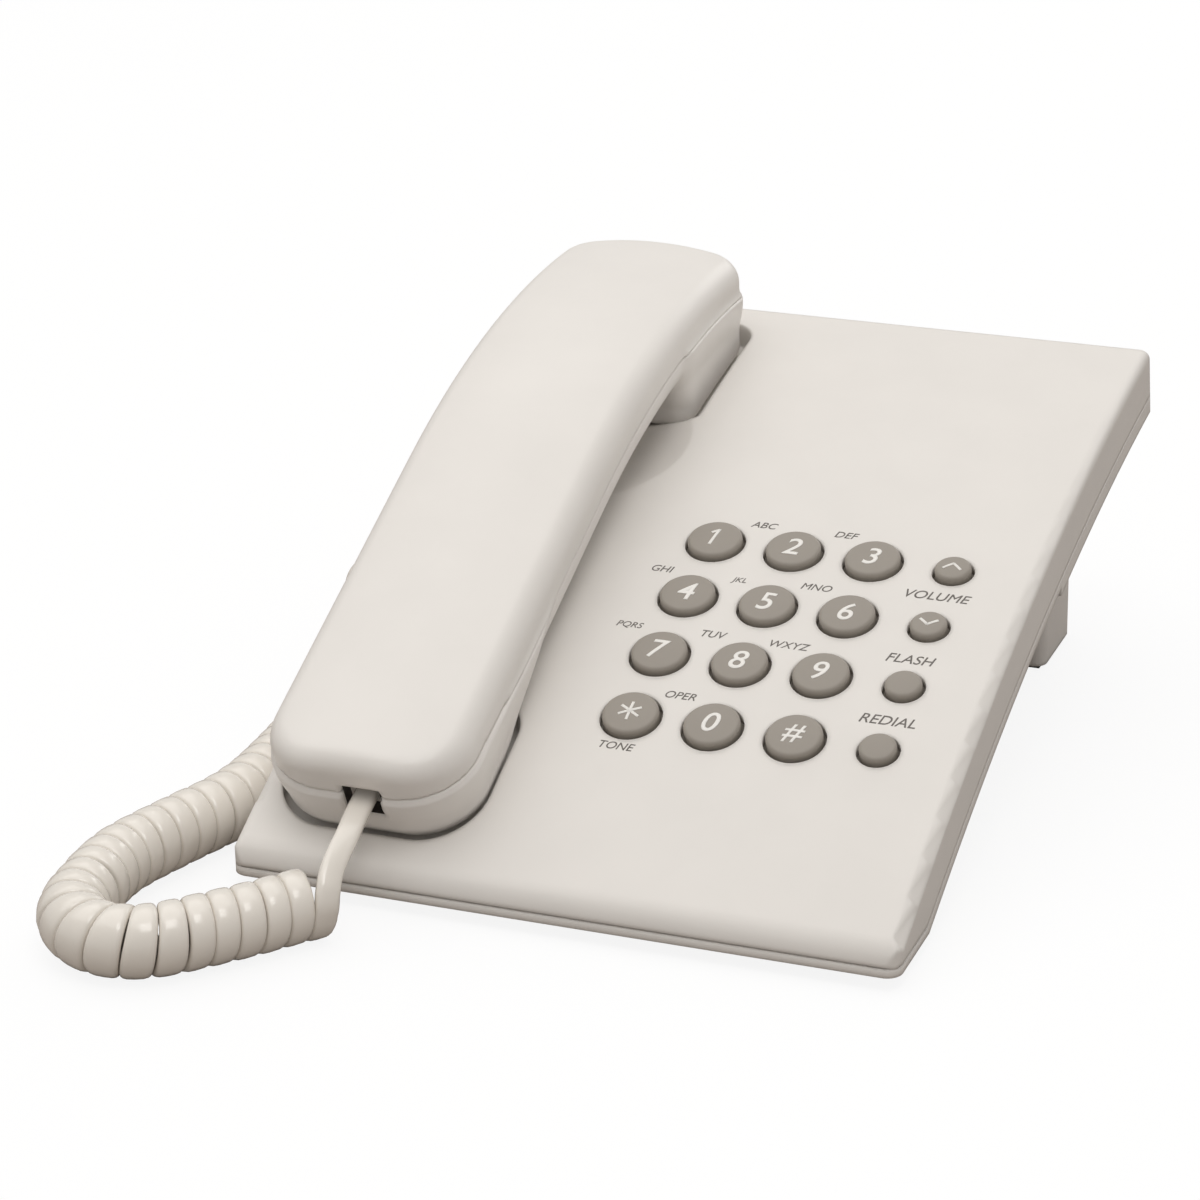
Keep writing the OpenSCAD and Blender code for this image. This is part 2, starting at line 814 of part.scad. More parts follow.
// Round key: domed cap in the case's hole, wide flange under the case, stem over its rubber bell
module key(column, row, d) {
    flange = 1;
    stem_h = 1.2;
    crown_r = (pow(d / 2, 2) + pow(key_dome, 2)) / (2 * key_dome);
    color(key_colour) from_front() at_key(column, row) {
        intersection() {
            translate([0, 0, -key_flange_depth]) cylinder(far / 8, d = d, $fn = 2 * key_fn);
            translate([0, 0, key_proud + key_dome - crown_r]) sphere(crown_r, $fn = 12 * key_fn);
        }
        translate([0, 0, -key_flange_depth])
            cylinder(key_flange_t, r = d / 2 + flange, $fn = 2 * key_fn);
        translate([0, 0, -key_flange_depth - stem_h])
            cylinder(stem_h, r = key_stem_r, $fn = key_fn);
    }
}

module dial_key(column, row) {
    key(column, row, key_d);
}

module function_key(row) {
    key(3, row, small_key_d);
}

// ---------------------------------------------------------------- handset

// Section of the handset, radius along X and width along Y: a crown, tangent corners, a flat
// underside with round corners
module handset_section(w, top, under, top_round, under_round) {
    crown_r = (pow(w / 2, 2) + pow(crown_h, 2)) / (2 * crown_h);
    crown_mid = grip_r + top - crown_r;
    corner_y = w / 2 - top_round;
    corner_x = crown_mid + sqrt(pow(crown_r - top_round, 2) - pow(corner_y, 2));
    crown_w = 2 * crown_r * corner_y / (crown_r - top_round);
    intersection() {
        translate([crown_mid, 0]) circle(crown_r, $fn = 3 * round_fn);
        translate([grip_r - under / 2, -crown_w / 2]) square([far / 8, crown_w]);
    }
    translate([grip_r - under + under_round, -w / 2])
        square([corner_x - grip_r + under - under_round, w]);
    translate([grip_r - under, under_round - w / 2]) square([under / 2, w - 2 * under_round]);
    for (side = [-1, 1]) {
        translate([corner_x, side * corner_y]) circle(top_round, $fn = small_fn);
        translate([grip_r - under + under_round, side * (w / 2 - under_round)])
            circle(under_round, $fn = small_fn);
    }
}

// Sweeps a section along the handset: an arch, and its straight run to the front
module along_handset() {
    end_tilt = asin((grip_arc_y - handset_end - 6) / grip_r);
    translate([handset_x, grip_arc_y, grip_arc_z]) rotate([0, -90, 0]) rotate([0, 0, -grip_tilt]) {
        rotate_extrude(angle = grip_tilt - end_tilt, $fn = sweep_fn) children();
        rotate([90, 0, 0]) linear_extrude(grip_bend_y / cos(grip_tilt) + 10) children();
    }
}

// Stands children at the start of the handset's arch: +Y runs up along the straight part, +Z is
// square to it
module at_bend() {
    translate([handset_x, grip_bend_y, grip_bend_z]) rotate([grip_tilt, 0, 0]) children();
}

// Block of the mouthpiece, drawn in by inset: round lower edges, slanted rear
module mouth_block(inset) {
    slope = 1.02;
    low_y = 33;
    low_z = top_z(low_y) - 2;
    high_y = 62;
    edge = 5;
    floor_h = nose_floor_h + inset;
    half = handset_w / 2 - inset;
    intersection() {
        across(far) difference() {
            polygon([
                [-far / 8, 0],
                [low_y - inset, 0],
                [low_y - inset, low_z],
                [high_y - inset, low_z + slope * (high_y - low_y)],
                [high_y - inset, far / 4],
                [-far / 8, far / 4]
            ]);
            arch_disc(front_well_t - block_gap - inset);
        }
        at_bend() rotate([90, 0, 0]) translate([0, 0, -far / 8]) linear_extrude(far / 2) {
            translate([-half, floor_h + edge]) square([2 * half, far / 4]);
            translate([edge - half, floor_h]) square([2 * (half - edge), 2 * edge]);
            for (side = [-1, 1])
                translate([side * (half - edge), floor_h + edge]) circle(edge, $fn = round_fn);
        }
    }
}

// Block of the earpiece, drawn in by inset: round upright corners, slanted top of its front
module ear_block(inset) {
    front_y = rear_well_y + 3;
    front_z = top_z(front_y);
    intersection() {
        across(far) difference() {
            polygon([
                [front_y + inset, 0],
                [base_d, 0],
                [base_d, far / 4],
                [front_y - 4 + inset, far / 4],
                [front_y - 4 + inset, front_z + 16],
                [front_y + inset, front_z]
            ]);
            arch_disc(rear_well_t - hook_gap - inset);
        }
        linear_extrude(far / 2) long_plan(handset_w - 2 * inset, front_y - 4 + inset,
            handset_end - inset, 5, handset_rear_r - inset);
    }
}

// Side view of the handset's front end, drawn in by inset: Y and Z stand as in at_bend()
module nose_side(inset) {
    r = max(nose_r - inset, 1);
    bow = nose_bow_r - inset;
    top = crown_h - nose_r;
    a = nose_a + inset;
    difference() {
        translate([a, -far / 4]) square([far, far / 2]);
        translate([a - 1, top]) difference() {
            square([1 + r, far / 8]);
            translate([1 + r, 0]) circle(r, $fn = round_fn);
        }
        translate([a - 1, top - far / 8]) difference() {
            square([1 + bow, far / 8]);
            translate([1 + bow, far / 8]) circle(bow, $fn = 2 * round_fn);
        }
    }
}

// Outside of the handset, or its hollow, drawn in by inset
module handset_solid(inset) {
    front_r = handset_front_r - inset;
    tail_y = handset_end - tail_r;
    tail_z = grip_arc_z + sqrt(pow(grip_r + crown_h - tail_r, 2) - pow(grip_arc_y - tail_y, 2));
    intersection() {
        union() {
            along_handset()
                handset_section(handset_w - 2 * inset, crown_h - inset,
                    seam_t + grip_under_t - inset, ridge_r, grip_under_t - 1 - inset);
            intersection() {
                union() {
                    mouth_block(inset);
                    ear_block(inset);
                }
                below_ridge(2);
            }
        }
        linear_extrude(far / 2) long_plan(handset_w - 2 * inset, -far / 8, handset_end - inset,
            1, handset_rear_r - inset);
        at_bend() translate([-handset_x, 0, -far / 8]) linear_extrude(far / 4)
            long_plan(handset_w - 2 * inset, nose_a + inset, far, front_r, 1);
        at_bend() across(far) nose_side(inset);
        across(far) difference() {
            translate([-far / 8, 0]) square([far, far]);
            if (inset == 0) difference() {
                translate([tail_y, tail_z]) square([2 * tail_r, 2 * tail_r]);
                translate([tail_y, tail_z]) circle(tail_r, $fn = round_fn);
            }
        }
    }
}

// Everything under the surface that lies depth under the ridge
module below_ridge(depth) {
    along_handset() translate([grip_r - depth - far / 4, -far / 8]) square([far / 4, far / 4]);
}

module receiver_place() {
    translate([handset_x, receiver_y, top_z(receiver_y, rear_well_t - hook_gap)])
        rotate([top_tilt(receiver_y), 0, 0]) children();
}

// Capsules in the two blocks
receiver_y = 169;
receiver_r = 14;
microphone_y = 26.5;
microphone_r = 3;

module microphone_place() {
    translate([handset_x, microphone_y, top_z(microphone_y, front_well_t - block_gap)])
        rotate([top_tilt(microphone_y), 0, 0]) children();
}

// Posts round the handset's screws
module handset_posts() {
    at_handset_screws() cylinder(far / 16, r = 3.2, $fn = key_fn);
}

module handset_upper_shell() {
    color(case_colour) from_front() difference() {
        handset_solid(0);
        difference() {
            handset_solid(shell_t);
            handset_posts();
        }
        below_ridge(seam_t);
        at_handset_screws()
            cylinder(handset_shank_h + 0.3, r = handset_shank_r + 0.02, $fn = key_fn);
        at_handset_jack() translate([0, 1, 0]) plug_shape(plug_gap + 0.3);
    }
}

module handset_lower_shell() {
    hole_r = 0.9;
    color(case_colour) from_front() difference() {
        intersection() {
            handset_solid(0);
            below_ridge(seam_t);
        }
        difference() {
            handset_solid(shell_t);
            handset_posts();
            handset_jack_rest();
        }
        at_handset_screws() {
            cylinder(far / 16, r = handset_shank_r + 0.2, center = true, $fn = key_fn);
            translate([0, 0, handset_head_h - far / 16])
                cylinder(far / 16, r = handset_head_r + 0.3, $fn = key_fn);
        }
        receiver_place() {
            cylinder(3 * shell_t, r = hole_r, center = true, $fn = small_fn);
            for (turn = [0:60:300])
                rotate([0, 0, turn]) translate([5, 0, 0])
                    cylinder(3 * shell_t, r = hole_r, center = true, $fn = small_fn);
        }
        microphone_place() cylinder(3 * shell_t, r = hole_r, center = true, $fn = small_fn);
        at_handset_jack() translate([0, 1, 0]) plug_shape(plug_gap + 0.3);
    }
}

module receiver_capsule() {
    color(steel_colour) from_front() receiver_place() translate([0, 0, shell_t + 1]) {
        cylinder(4, r = receiver_r, $fn = 2 * key_fn);
        cylinder(7, r = receiver_r - 4, $fn = 2 * key_fn);
    }
}

module receiver_seal() {
    color(dark_colour) from_front() receiver_place() translate([0, 0, shell_t]) difference() {
        cylinder(1, r = receiver_r, $fn = 2 * key_fn);
        translate([0, 0, -1]) cylinder(3, r = receiver_r - 3, $fn = 2 * key_fn);
    }
}

microphone_boot_t = 1.1;
module microphone_boot() {
    color(dark_colour) from_front() microphone_place() translate([0, 0, shell_t + 0.05])
        difference() {
            cylinder(5, r = microphone_r + microphone_boot_t, $fn = key_fn);
            translate([0, 0, microphone_boot_t]) cylinder(5, r = microphone_r, $fn = key_fn);
            cylinder(3, r = 0.9, center = true, $fn = small_fn);
        }
}

module microphone_capsule() {
    color(steel_colour) from_front() microphone_place()
        translate([0, 0, shell_t + 0.05 + microphone_boot_t])
            cylinder(3.6, r = microphone_r, $fn = key_fn);
}

// Handset jack: it looks out of the front end, along the handset, a little to the right
handset_jack_x = 2;
handset_jack_h = -9;
plug_sink = 4.8;
handset_jack_sink = 5.2;
module at_handset_jack() {
    at_bend() translate([handset_jack_x, nose_a, handset_jack_h]) rotate([0, 0, 180]) children();
}

// Rib that carries the jack on the floor of the handset's hollow
module handset_jack_rest() {
    rib_t = 1.6;
    rib_w = 12;
    at_handset_jack()
        translate([-rib_w / 2, -plug_l, -plug_h / 2 - plug_gap - jack_t - far / 16])
            cube([rib_w, rib_t, far / 16]);
}

module handset_jack() {
    color(dark_colour) from_front() at_handset_jack() translate([0, -handset_jack_sink, 0])
        jack(plug_w + 2 * plug_gap, plug_h + 2 * plug_gap,
            plug_l + plug_sink - handset_jack_sink + 1);
}

// Stands children on the inside of the grip's underside, square to it
module on_grip_floor(y) {
    tilt = y < grip_bend_y ? grip_tilt : asin((grip_arc_y - y) / grip_r);
    translate([handset_x, y, ridge_z(y)]) rotate([tilt, 0, 0])
        translate([0, 0, -seam_t - grip_under_t + shell_t]) children();
}

module handset_weight() {
    color(steel_colour) from_front() on_grip_floor(100) translate([0, 0, 0.95]) block(18, 44, 4);
}

// Screws up through the grip's underside
handset_screw_places = [70, 130];
handset_shank_r = 1.2;
handset_shank_h = 13;
handset_head_r = 2.4;
handset_head_h = 1.2;
module at_handset_screws() {
    for (y = handset_screw_places)
        on_grip_floor(y) translate([0, 0, -shell_t]) children();
}

module handset_screws() {
    color(steel_colour) from_front() at_handset_screws() difference() {
        union() {
            cylinder(handset_head_h, r = handset_head_r, $fn = key_fn);
            cylinder(handset_shank_h, r = handset_shank_r, $fn = key_fn);
        }
        cross_slot();
    }
}

// ---------------------------------------------------------------- plugs and cord

module handset_plug() {
    color(cord_colour) from_front() at_handset_jack() translate([0, -plug_sink, 0])
        plug_shape();
}

module base_plug() {
    color(cord_colour) from_front() at_cord_jack() plug_shape();
}

// The cord's middle line: free places on the table between the two plugs, x, y and z
handset_exit_dir = [0, -cos(grip_tilt), -sin(grip_tilt)];
handset_exit = [handset_x + handset_jack_x, grip_bend_y, grip_bend_z]
    + (nose_a + plug_sink) * -handset_exit_dir + handset_jack_h * [0, -sin(grip_tilt), cos(grip_tilt)];
cord_jack_mid = [-base_w / 2, cord_jack_y + cord_jack_depth * sin(top_tilt(cord_jack_y)),
    top_z(cord_jack_y) - cord_jack_depth * cos(top_tilt(cord_jack_y))];
coil_z = curl_d / 2;
free_route = [
    [-45.8, -9, 15.5], [-46.6, -14, 11], [-48, -18.2, 8.6],
    [-51.8, -22.8, coil_z], [-56.2, -28.3, coil_z], [-61, -33.8, coil_z],
    [-65.5, -38.6, coil_z], [-70.1, -43.3, coil_z], [-75.6, -46.9, coil_z],
    [-82.2, -47.9, coil_z], [-88.4, -45.8, coil_z], [-93, -41.2, coil_z],
    [-95.2, -34.9, coil_z], [-95.8, -28.4, coil_z], [-96.4, -21.5, coil_z],
    [-96, -14, coil_z], [-94.3, -7, coil_z], [-92, 0, coil_z], [-89.6, 7, coil_z],
    [-87, 14, coil_z], [-85.2, 21.5, coil_z], [-84.4, 30, coil_z], [-84.5, 42, coil_z],
    [-85, 54, coil_z], [-85, 64, coil_z], [-85.5, 74, 9], [-86.5, 84, 17], [-87, 89.5, 29]
];
stub = 5;
cord_route = concat(
    [handset_exit - stub * handset_exit_dir, handset_exit, handset_exit + stub * handset_exit_dir],
    free_route,
    [cord_jack_mid - [stub, 0, 0], cord_jack_mid, cord_jack_mid + [stub, 0, 0]]
);

// Smooth curve through the route: u counts its places from the handset's plug
last_u = len(cord_route) - 3;
function smooth_at(p0, p1, p2, p3, f) = 0.5 * (2 * p1 + (p2 - p0) * f
    + (2 * p0 - 5 * p1 + 4 * p2 - p3) * f * f + (3 * p1 - p0 - 3 * p2 + p3) * f * f * f);
function route_at(u) = let (i = min(floor(u), last_u - 1)) smooth_at(cord_route[i],
    cord_route[i + 1], cord_route[i + 2], cord_route[i + 3], u - i);
u_step = 1 / 16;
route_lengths = [for (u = 0, l = 0; u <= last_u;
    l = l + norm(route_at(u + u_step) - route_at(u)), u = u + u_step) [l, u]];
route_l = route_lengths[len(route_lengths) - 1][0];
function axis_at(l) = route_at(lookup(l, route_lengths));
function unit(v) = v / norm(v);
function axis_dir(l) = unit(axis_at(min(l + 0.2, route_l)) - axis_at(max(l - 0.2, 0)));

// Curls: where they start and end along the route, and the rings of one curl
curl_rings = 8;
coil_start = 21.2;
coil_ramp = 1.2 * curl_pitch;
base_tail_l = 50;
curl_count = floor((route_l - coil_start - base_tail_l - 2 * cord_d) / curl_pitch);
coil_end = coil_start + curl_count * curl_pitch + 2 * cord_d;
curl_r = (curl_d - cord_d) / 2;
function ease(t) = let (c = min(max(t, 0), 1)) c * c * (3 - 2 * c);
function coil_radius(l) = curl_r * ease(min(l - coil_start - cord_d, coil_end - cord_d - l)
    / coil_ramp);
function coil_at(l) = let (
    along = axis_dir(l),
    side = unit(cross(along, [0, 0, 1])),
    turn = 360 * (l - coil_start - cord_d) / curl_pitch
) axis_at(l) + coil_radius(l) * (cos(turn) * cross(side, along) - sin(turn) * side);
coil_points = [
    axis_at(coil_start),
    for (i = [0:curl_count * curl_rings])
        coil_at(coil_start + cord_d + i * curl_pitch / curl_rings),
    axis_at(coil_end)
];

// Round tube of the cord's thickness along points, with square ends
function middle_dirs(points) = [for (i = [1:len(points) - 2]) unit(points[i + 1] - points[i - 1])];
function carried(dirs, first) = [for (i = 0, n = first; i < len(dirs);
    i = i + 1, n = i < len(dirs) ? unit(n - (n * dirs[i]) * dirs[i]) : n) n];
module tube(points, from_dir, to_dir, sides) {
    dirs = concat([from_dir], middle_dirs(points), [to_dir]);
    ups = carried(dirs, unit(cross(from_dir, [0.3, 0.2, 1])));
    count = len(points);
    rings = [for (i = [0:count - 1], j = [0:sides - 1]) let (a = 360 * j / sides)
        points[i] + cord_d / 2 * (cos(a) * ups[i] + sin(a) * cross(dirs[i], ups[i]))];
    walls = [for (i = [0:count - 2], j = [0:sides - 1])
        let (a = i * sides + j, b = i * sides + (j + 1) % sides)
        each [[a, a + sides, b], [b, a + sides, b + sides]]];
    caps = [
        [for (j = [0:sides - 1]) j],
        [for (j = [sides - 1:-1:0]) (count - 1) * sides + j]
    ];
    polyhedron(rings, concat(walls, caps));
}

// Part of the plain cord between two lengths along the route
module plain_cord(from_l, to_l, ring_count, from_dir, to_dir) {
    tube([for (i = [0:ring_count]) axis_at(from_l + (to_l - from_l) * i / ring_count)],
        from_dir, to_dir, 8);
}

module cord_tail_handset() {
    color(cord_colour) from_front()
        plain_cord(0, coil_start, 4, handset_exit_dir, axis_dir(coil_start));
}

module curly_cord() {
    steps = [for (i = [0:len(coil_points) - 2]) norm(coil_points[i + 1] - coil_points[i])];
    coil_l = steps * [for (step = steps) 1];
    gaps = [for (i = [0:len(coil_points) - 1], j = [i + 5:1:min(i + 24, len(coil_points) - 1)])
        norm(coil_points[i] - coil_points[j]) - cord_d];
    echo(curls = curl_count, coil_length = coil_l, tails = coil_start + route_l - coil_end,
        least_gap = min(gaps));
    color(cord_colour) from_front()
        tube(coil_points, axis_dir(coil_start), axis_dir(coil_end), 6);
}

module cord_tail_base() {
    color(cord_colour) from_front()
        plain_cord(coil_end, route_l, 10, axis_dir(coil_end), [1, 0, 0]);
}

// ---------------------------------------------------------------- what is drawn

upper_case();
lower_case();
front_feet();
case_screws();
stand();
stand_feet();
main_board();
keypad_board();
keypad_mat();
line_transformer();
speech_chip();
capacitors();
ringer();
ballast_plate();
line_jack();
cord_jack();
hook_switch();
hook_spring();
hook_button();
ringer_switch();
ringer_knob();
dial_mode_switch();
dial_mode_knob();
dial_key(0, 3);  // key_1
dial_key(1, 3);  // key_2
dial_key(2, 3);  // key_3
dial_key(0, 2);  // key_4
dial_key(1, 2);  // key_5
dial_key(2, 2);  // key_6
dial_key(0, 1);  // key_7
dial_key(1, 1);  // key_8
dial_key(2, 1);  // key_9
dial_key(0, 0);  // key_star
dial_key(1, 0);  // key_0
dial_key(2, 0);  // key_hash
function_key(3);  // volume_up_key
function_key(2);  // volume_down_key
function_key(1);  // flash_key
function_key(0);  // redial_key
handset_upper_shell();
handset_lower_shell();
receiver_capsule();
receiver_seal();
microphone_capsule();
microphone_boot();
handset_jack();
handset_weight();
handset_screws();
handset_plug();
base_plug();
cord_tail_handset();
curly_cord();
cord_tail_base();
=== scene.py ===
import bpy, bmesh, json, math
import numpy as np
from mathutils import Matrix, Vector


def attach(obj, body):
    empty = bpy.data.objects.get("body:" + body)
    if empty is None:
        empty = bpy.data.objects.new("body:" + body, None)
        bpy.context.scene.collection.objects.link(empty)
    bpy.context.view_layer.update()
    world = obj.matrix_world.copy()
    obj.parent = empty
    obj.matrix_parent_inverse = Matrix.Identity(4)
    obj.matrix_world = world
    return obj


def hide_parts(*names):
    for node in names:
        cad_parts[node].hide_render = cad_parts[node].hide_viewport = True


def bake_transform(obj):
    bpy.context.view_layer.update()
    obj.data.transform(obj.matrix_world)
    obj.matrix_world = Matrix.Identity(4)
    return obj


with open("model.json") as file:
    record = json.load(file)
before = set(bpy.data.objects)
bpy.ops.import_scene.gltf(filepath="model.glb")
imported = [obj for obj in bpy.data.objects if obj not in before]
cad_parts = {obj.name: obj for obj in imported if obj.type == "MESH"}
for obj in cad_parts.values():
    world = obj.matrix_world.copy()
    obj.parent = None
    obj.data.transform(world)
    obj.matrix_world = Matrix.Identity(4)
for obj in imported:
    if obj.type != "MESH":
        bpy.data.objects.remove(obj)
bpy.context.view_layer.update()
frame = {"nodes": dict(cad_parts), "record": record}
NODES = frame["nodes"]

# ------------------------------------------------------------------ the part's own sizes, in mm
# Lengths below are measured from the line under the front of the top face, as in the part's source;
# SHIFT takes them to the row frame.
BASE_D, FRONT_OUT = 201.6, 4.1
SHIFT = -(BASE_D - FRONT_OUT) / 2
ARC_R, ARC_TILT = 630.0, math.radians(26.3)
ARC_Y = ARC_R * math.sin(ARC_TILT)
FRONT_H = 11.2
ARC_Z = FRONT_H - ARC_R * math.cos(ARC_TILT)


def metres(p):
    """Points in mm from the line under the front of the top face, as metres in the row frame."""
    p = np.asarray(p, float)
    return (p + np.array([0.0, SHIFT, 0.0])) / 1000.0


def top_z(y):
    """Height of the top face."""
    return ARC_Z + math.sqrt(ARC_R ** 2 - (ARC_Y - y) ** 2)


def top_frame(x, s):
    """Origin, across, up-slope and normal directions on the arched top face, s along its arc."""
    t = ARC_TILT - s / ARC_R
    n = np.array([0.0, -math.sin(t), math.cos(t)])
    o = np.array([x, ARC_Y, ARC_Z]) + ARC_R * n
    return o, np.array([1.0, 0.0, 0.0]), np.array([0.0, math.cos(t), math.sin(t)]), n


def s_of(y):
    """Place along the top face's arc that lies over y."""
    return (ARC_TILT - math.asin((ARC_Y - y) / ARC_R)) * ARC_R


# ------------------------------------------------------------------ camera
AZ, EL, ROLL = math.radians(21.409), math.radians(22.689), math.radians(-1.151)
CAM_DIST, FOCAL_PX, FRAME_PX = 0.91030, 4016.0, 1200.0
AIM, AIM_RIGHT, AIM_UP = (0, 90, 30), -0.023436, 0.009392
SENSOR_MM = 36.0


def add_camera():
    """Camera at the photograph's viewing angle."""
    back = Vector((math.sin(AZ) * math.cos(EL), -math.cos(AZ) * math.cos(EL), math.sin(EL)))
    right = Vector((math.cos(AZ), math.sin(AZ), 0.0))
    up = back.cross(right)
    target = Vector(metres(AIM)) + AIM_RIGHT * right + AIM_UP * up
    r2 = right * math.cos(ROLL) + up * math.sin(ROLL)
    u2 = -right * math.sin(ROLL) + up * math.cos(ROLL)
    data = bpy.data.cameras.new("camera")
    data.sensor_width = SENSOR_MM
    data.lens = SENSOR_MM * FOCAL_PX / FRAME_PX
    data.clip_start, data.clip_end = 0.05, 20.0
    cam = bpy.data.objects.new("camera", data)
    m = Matrix((r2, u2, back)).transposed().to_4x4()
    m.translation = target + back * CAM_DIST
    cam.matrix_world = m
    bpy.context.scene.collection.objects.link(cam)
    bpy.context.scene.camera = cam


add_camera()

# ------------------------------------------------------------------ cord: route and curls
BEND_Y, TILT = 85.0, math.radians(23.3)
BEND_Z = top_z(BEND_Y) + 23.1
BASE_LEFT = -75.0
NOSE_Y = 4.4
NOSE_A = (NOSE_Y - BEND_Y) * math.cos(TILT) + (top_z(NOSE_Y) - BEND_Z) * math.sin(TILT)
HAND_X = -47.05
PLUG_SINK, PLUG_X, PLUG_DROP = 4.8, 2.0, 9.0
STUB = 5.0
CURL_D, STRAND_W, STRAND_T, CURL_PITCH = 15.6, 5.2, 3.0, 5.5
WIDEST_STRAND, SHOULDER = 7.8, 0.62
COIL_Z = CURL_D / 2
UNWIND, MERGE_END, MERGE_RUN = 22.0, 38.0, 34.0
BASE_TAIL, PER_TURN, FIRST_TURN = 46.0, 28, 0.25
TAIL_ROUTE = [(-44.9, -3, 21.6), (-44.4, -9, 19.6), (-44.3, -14, 17.6), (-44.1, -18.5, 15.2),
              (-43.5, -21.8, 12.2)]
FREE_ROUTE = [
    (-48.4, -18.9, COIL_Z), (-51.8, -22.8, COIL_Z), (-56.2, -28.3, COIL_Z), (-61, -33.8, COIL_Z),
    (-65.5, -38.6, COIL_Z), (-70.1, -43.3, COIL_Z), (-75.6, -46.9, COIL_Z),
    (-82.2, -47.9, COIL_Z), (-88.4, -45.8, COIL_Z), (-93, -41.2, COIL_Z),
    (-95.2, -34.9, COIL_Z), (-95.8, -28.4, COIL_Z), (-96.4, -21.5, COIL_Z), (-96, -14, COIL_Z),
    (-94.3, -7, COIL_Z), (-92, 0, COIL_Z), (-89.6, 7, COIL_Z), (-87, 14, COIL_Z),
    (-85.2, 21.5, COIL_Z), (-84.4, 30, COIL_Z), (-84.5, 42, COIL_Z), (-85, 54, COIL_Z),
    (-85, 64, COIL_Z), (-85.5, 74, 9), (-86.5, 84, 17), (-86.5, 88.6, 27), (-85.4, 89.9, 34.5),
]
JACK_S, JACK_DEPTH = s_of(88.0), 8.0
EXIT_DIR = np.array([0.0, -math.cos(TILT), -math.sin(TILT)])
EXIT = (np.array([HAND_X + PLUG_X, BEND_Y, BEND_Z]) - (NOSE_A + PLUG_SINK) * EXIT_DIR
        - PLUG_DROP * np.array([0.0, -math.sin(TILT), math.cos(TILT)]))


def cord_jack_mid():
    """Middle of the cord jack's mouth in the base's left side."""
    o, _, _, n = top_frame(BASE_LEFT, JACK_S)
    return o - JACK_DEPTH * n


def catmull(points, per):
    """Smooth curve through all points but the first and the last."""
    pts, out = np.asarray(points, float), []
    for i in range(len(pts) - 3):
        p0, p1, p2, p3 = pts[i:i + 4]
        for f in np.arange(per) / per:
            out.append(0.5 * (2 * p1 + (p2 - p0) * f + (2 * p0 - 5 * p1 + 4 * p2 - p3) * f * f
                              + (3 * p1 - p0 - 3 * p2 + p3) * f ** 3))
    out.append(pts[-2])
    return np.array(out)


def cord_path():
    """Centre line of the strand, its outward side and its width: a plain tail that runs into the
    curls at full size, and a plain run up to the base's jack."""
    jack = cord_jack_mid()
    x = np.array([STUB, 0.0, 0.0])
    before = 2 * np.array(FREE_ROUTE[0]) - np.array(FREE_ROUTE[1])
    axis = catmull([before] + FREE_ROUTE + [jack - x, jack, jack + x], 24)
    run = np.concatenate([[0], np.cumsum(np.linalg.norm(np.diff(axis, axis=0), axis=1))])
    total = run[-1]
    turns = int((total - BASE_TAIL) / CURL_PITCH)
    end = turns * CURL_PITCH
    ls = np.concatenate([np.linspace(0, end, turns * PER_TURN + 1), np.linspace(end, total, 140)[1:]])

    def at(v):
        return np.stack([np.interp(v, run, axis[:, k]) for k in range(3)], axis=1)

    near = 0.6
    along = at(np.minimum(ls + near, total)) - at(np.maximum(ls - near, 0))
    along /= np.linalg.norm(along, axis=1)[:, None]
    side = np.cross(along, (0.0, 0.0, 1.0))
    side /= np.linalg.norm(side, axis=1)[:, None]
    up = np.cross(side, along)
    # After the last curl the strand turns ever more slowly and only then comes in to the middle
    over = np.clip((ls - end) / UNWIND, 0, 1)
    slowed = UNWIND * (over - over ** 3 + over ** 4 / 2)
    turn = ((np.minimum(ls, end) + slowed) / CURL_PITCH + FIRST_TURN) * 2 * np.pi
    ramp = np.clip((end + MERGE_END - ls) / MERGE_RUN, 0, 1)
    full = (CURL_D - STRAND_T) / 2
    radius = full * ramp * ramp * (3 - 2 * ramp)
    out = np.cos(turn)[:, None] * up - np.sin(turn)[:, None] * side
    line = at(ls) + radius[:, None] * out
    # The curls lie side by side: narrower on the inside of a bend, wider on its outside
    room = np.full(len(line), WIDEST_STRAND)
    here = np.arange(len(line))
    for k in (-PER_TURN, PER_TURN):
        gap = np.linalg.norm(np.roll(line, k, axis=0) - line, axis=1)
        ok = (here - k >= 0) & (here - k < len(line)) & (radius > full - 0.3)
        room[ok] = np.minimum(room[ok], gap[ok])
    last = room[np.searchsorted(ls, end)]
    width = np.where(ls > end, STRAND_W + (last - STRAND_W) * ramp, room)
    tail = catmull([EXIT - STUB * EXIT_DIR, EXIT] + TAIL_ROUTE + [line[0], line[5]], 8)[:-1]
    share = np.linspace(0, 1, len(tail))[:, None]
    tail_out = (1 - share) * np.array([0.0, -math.sin(TILT), math.cos(TILT)]) + share * out[0]
    return (np.concatenate([tail, line]), np.concatenate([tail_out, out]),
            np.concatenate([np.linspace(STRAND_W, width[0], len(tail)), width]))


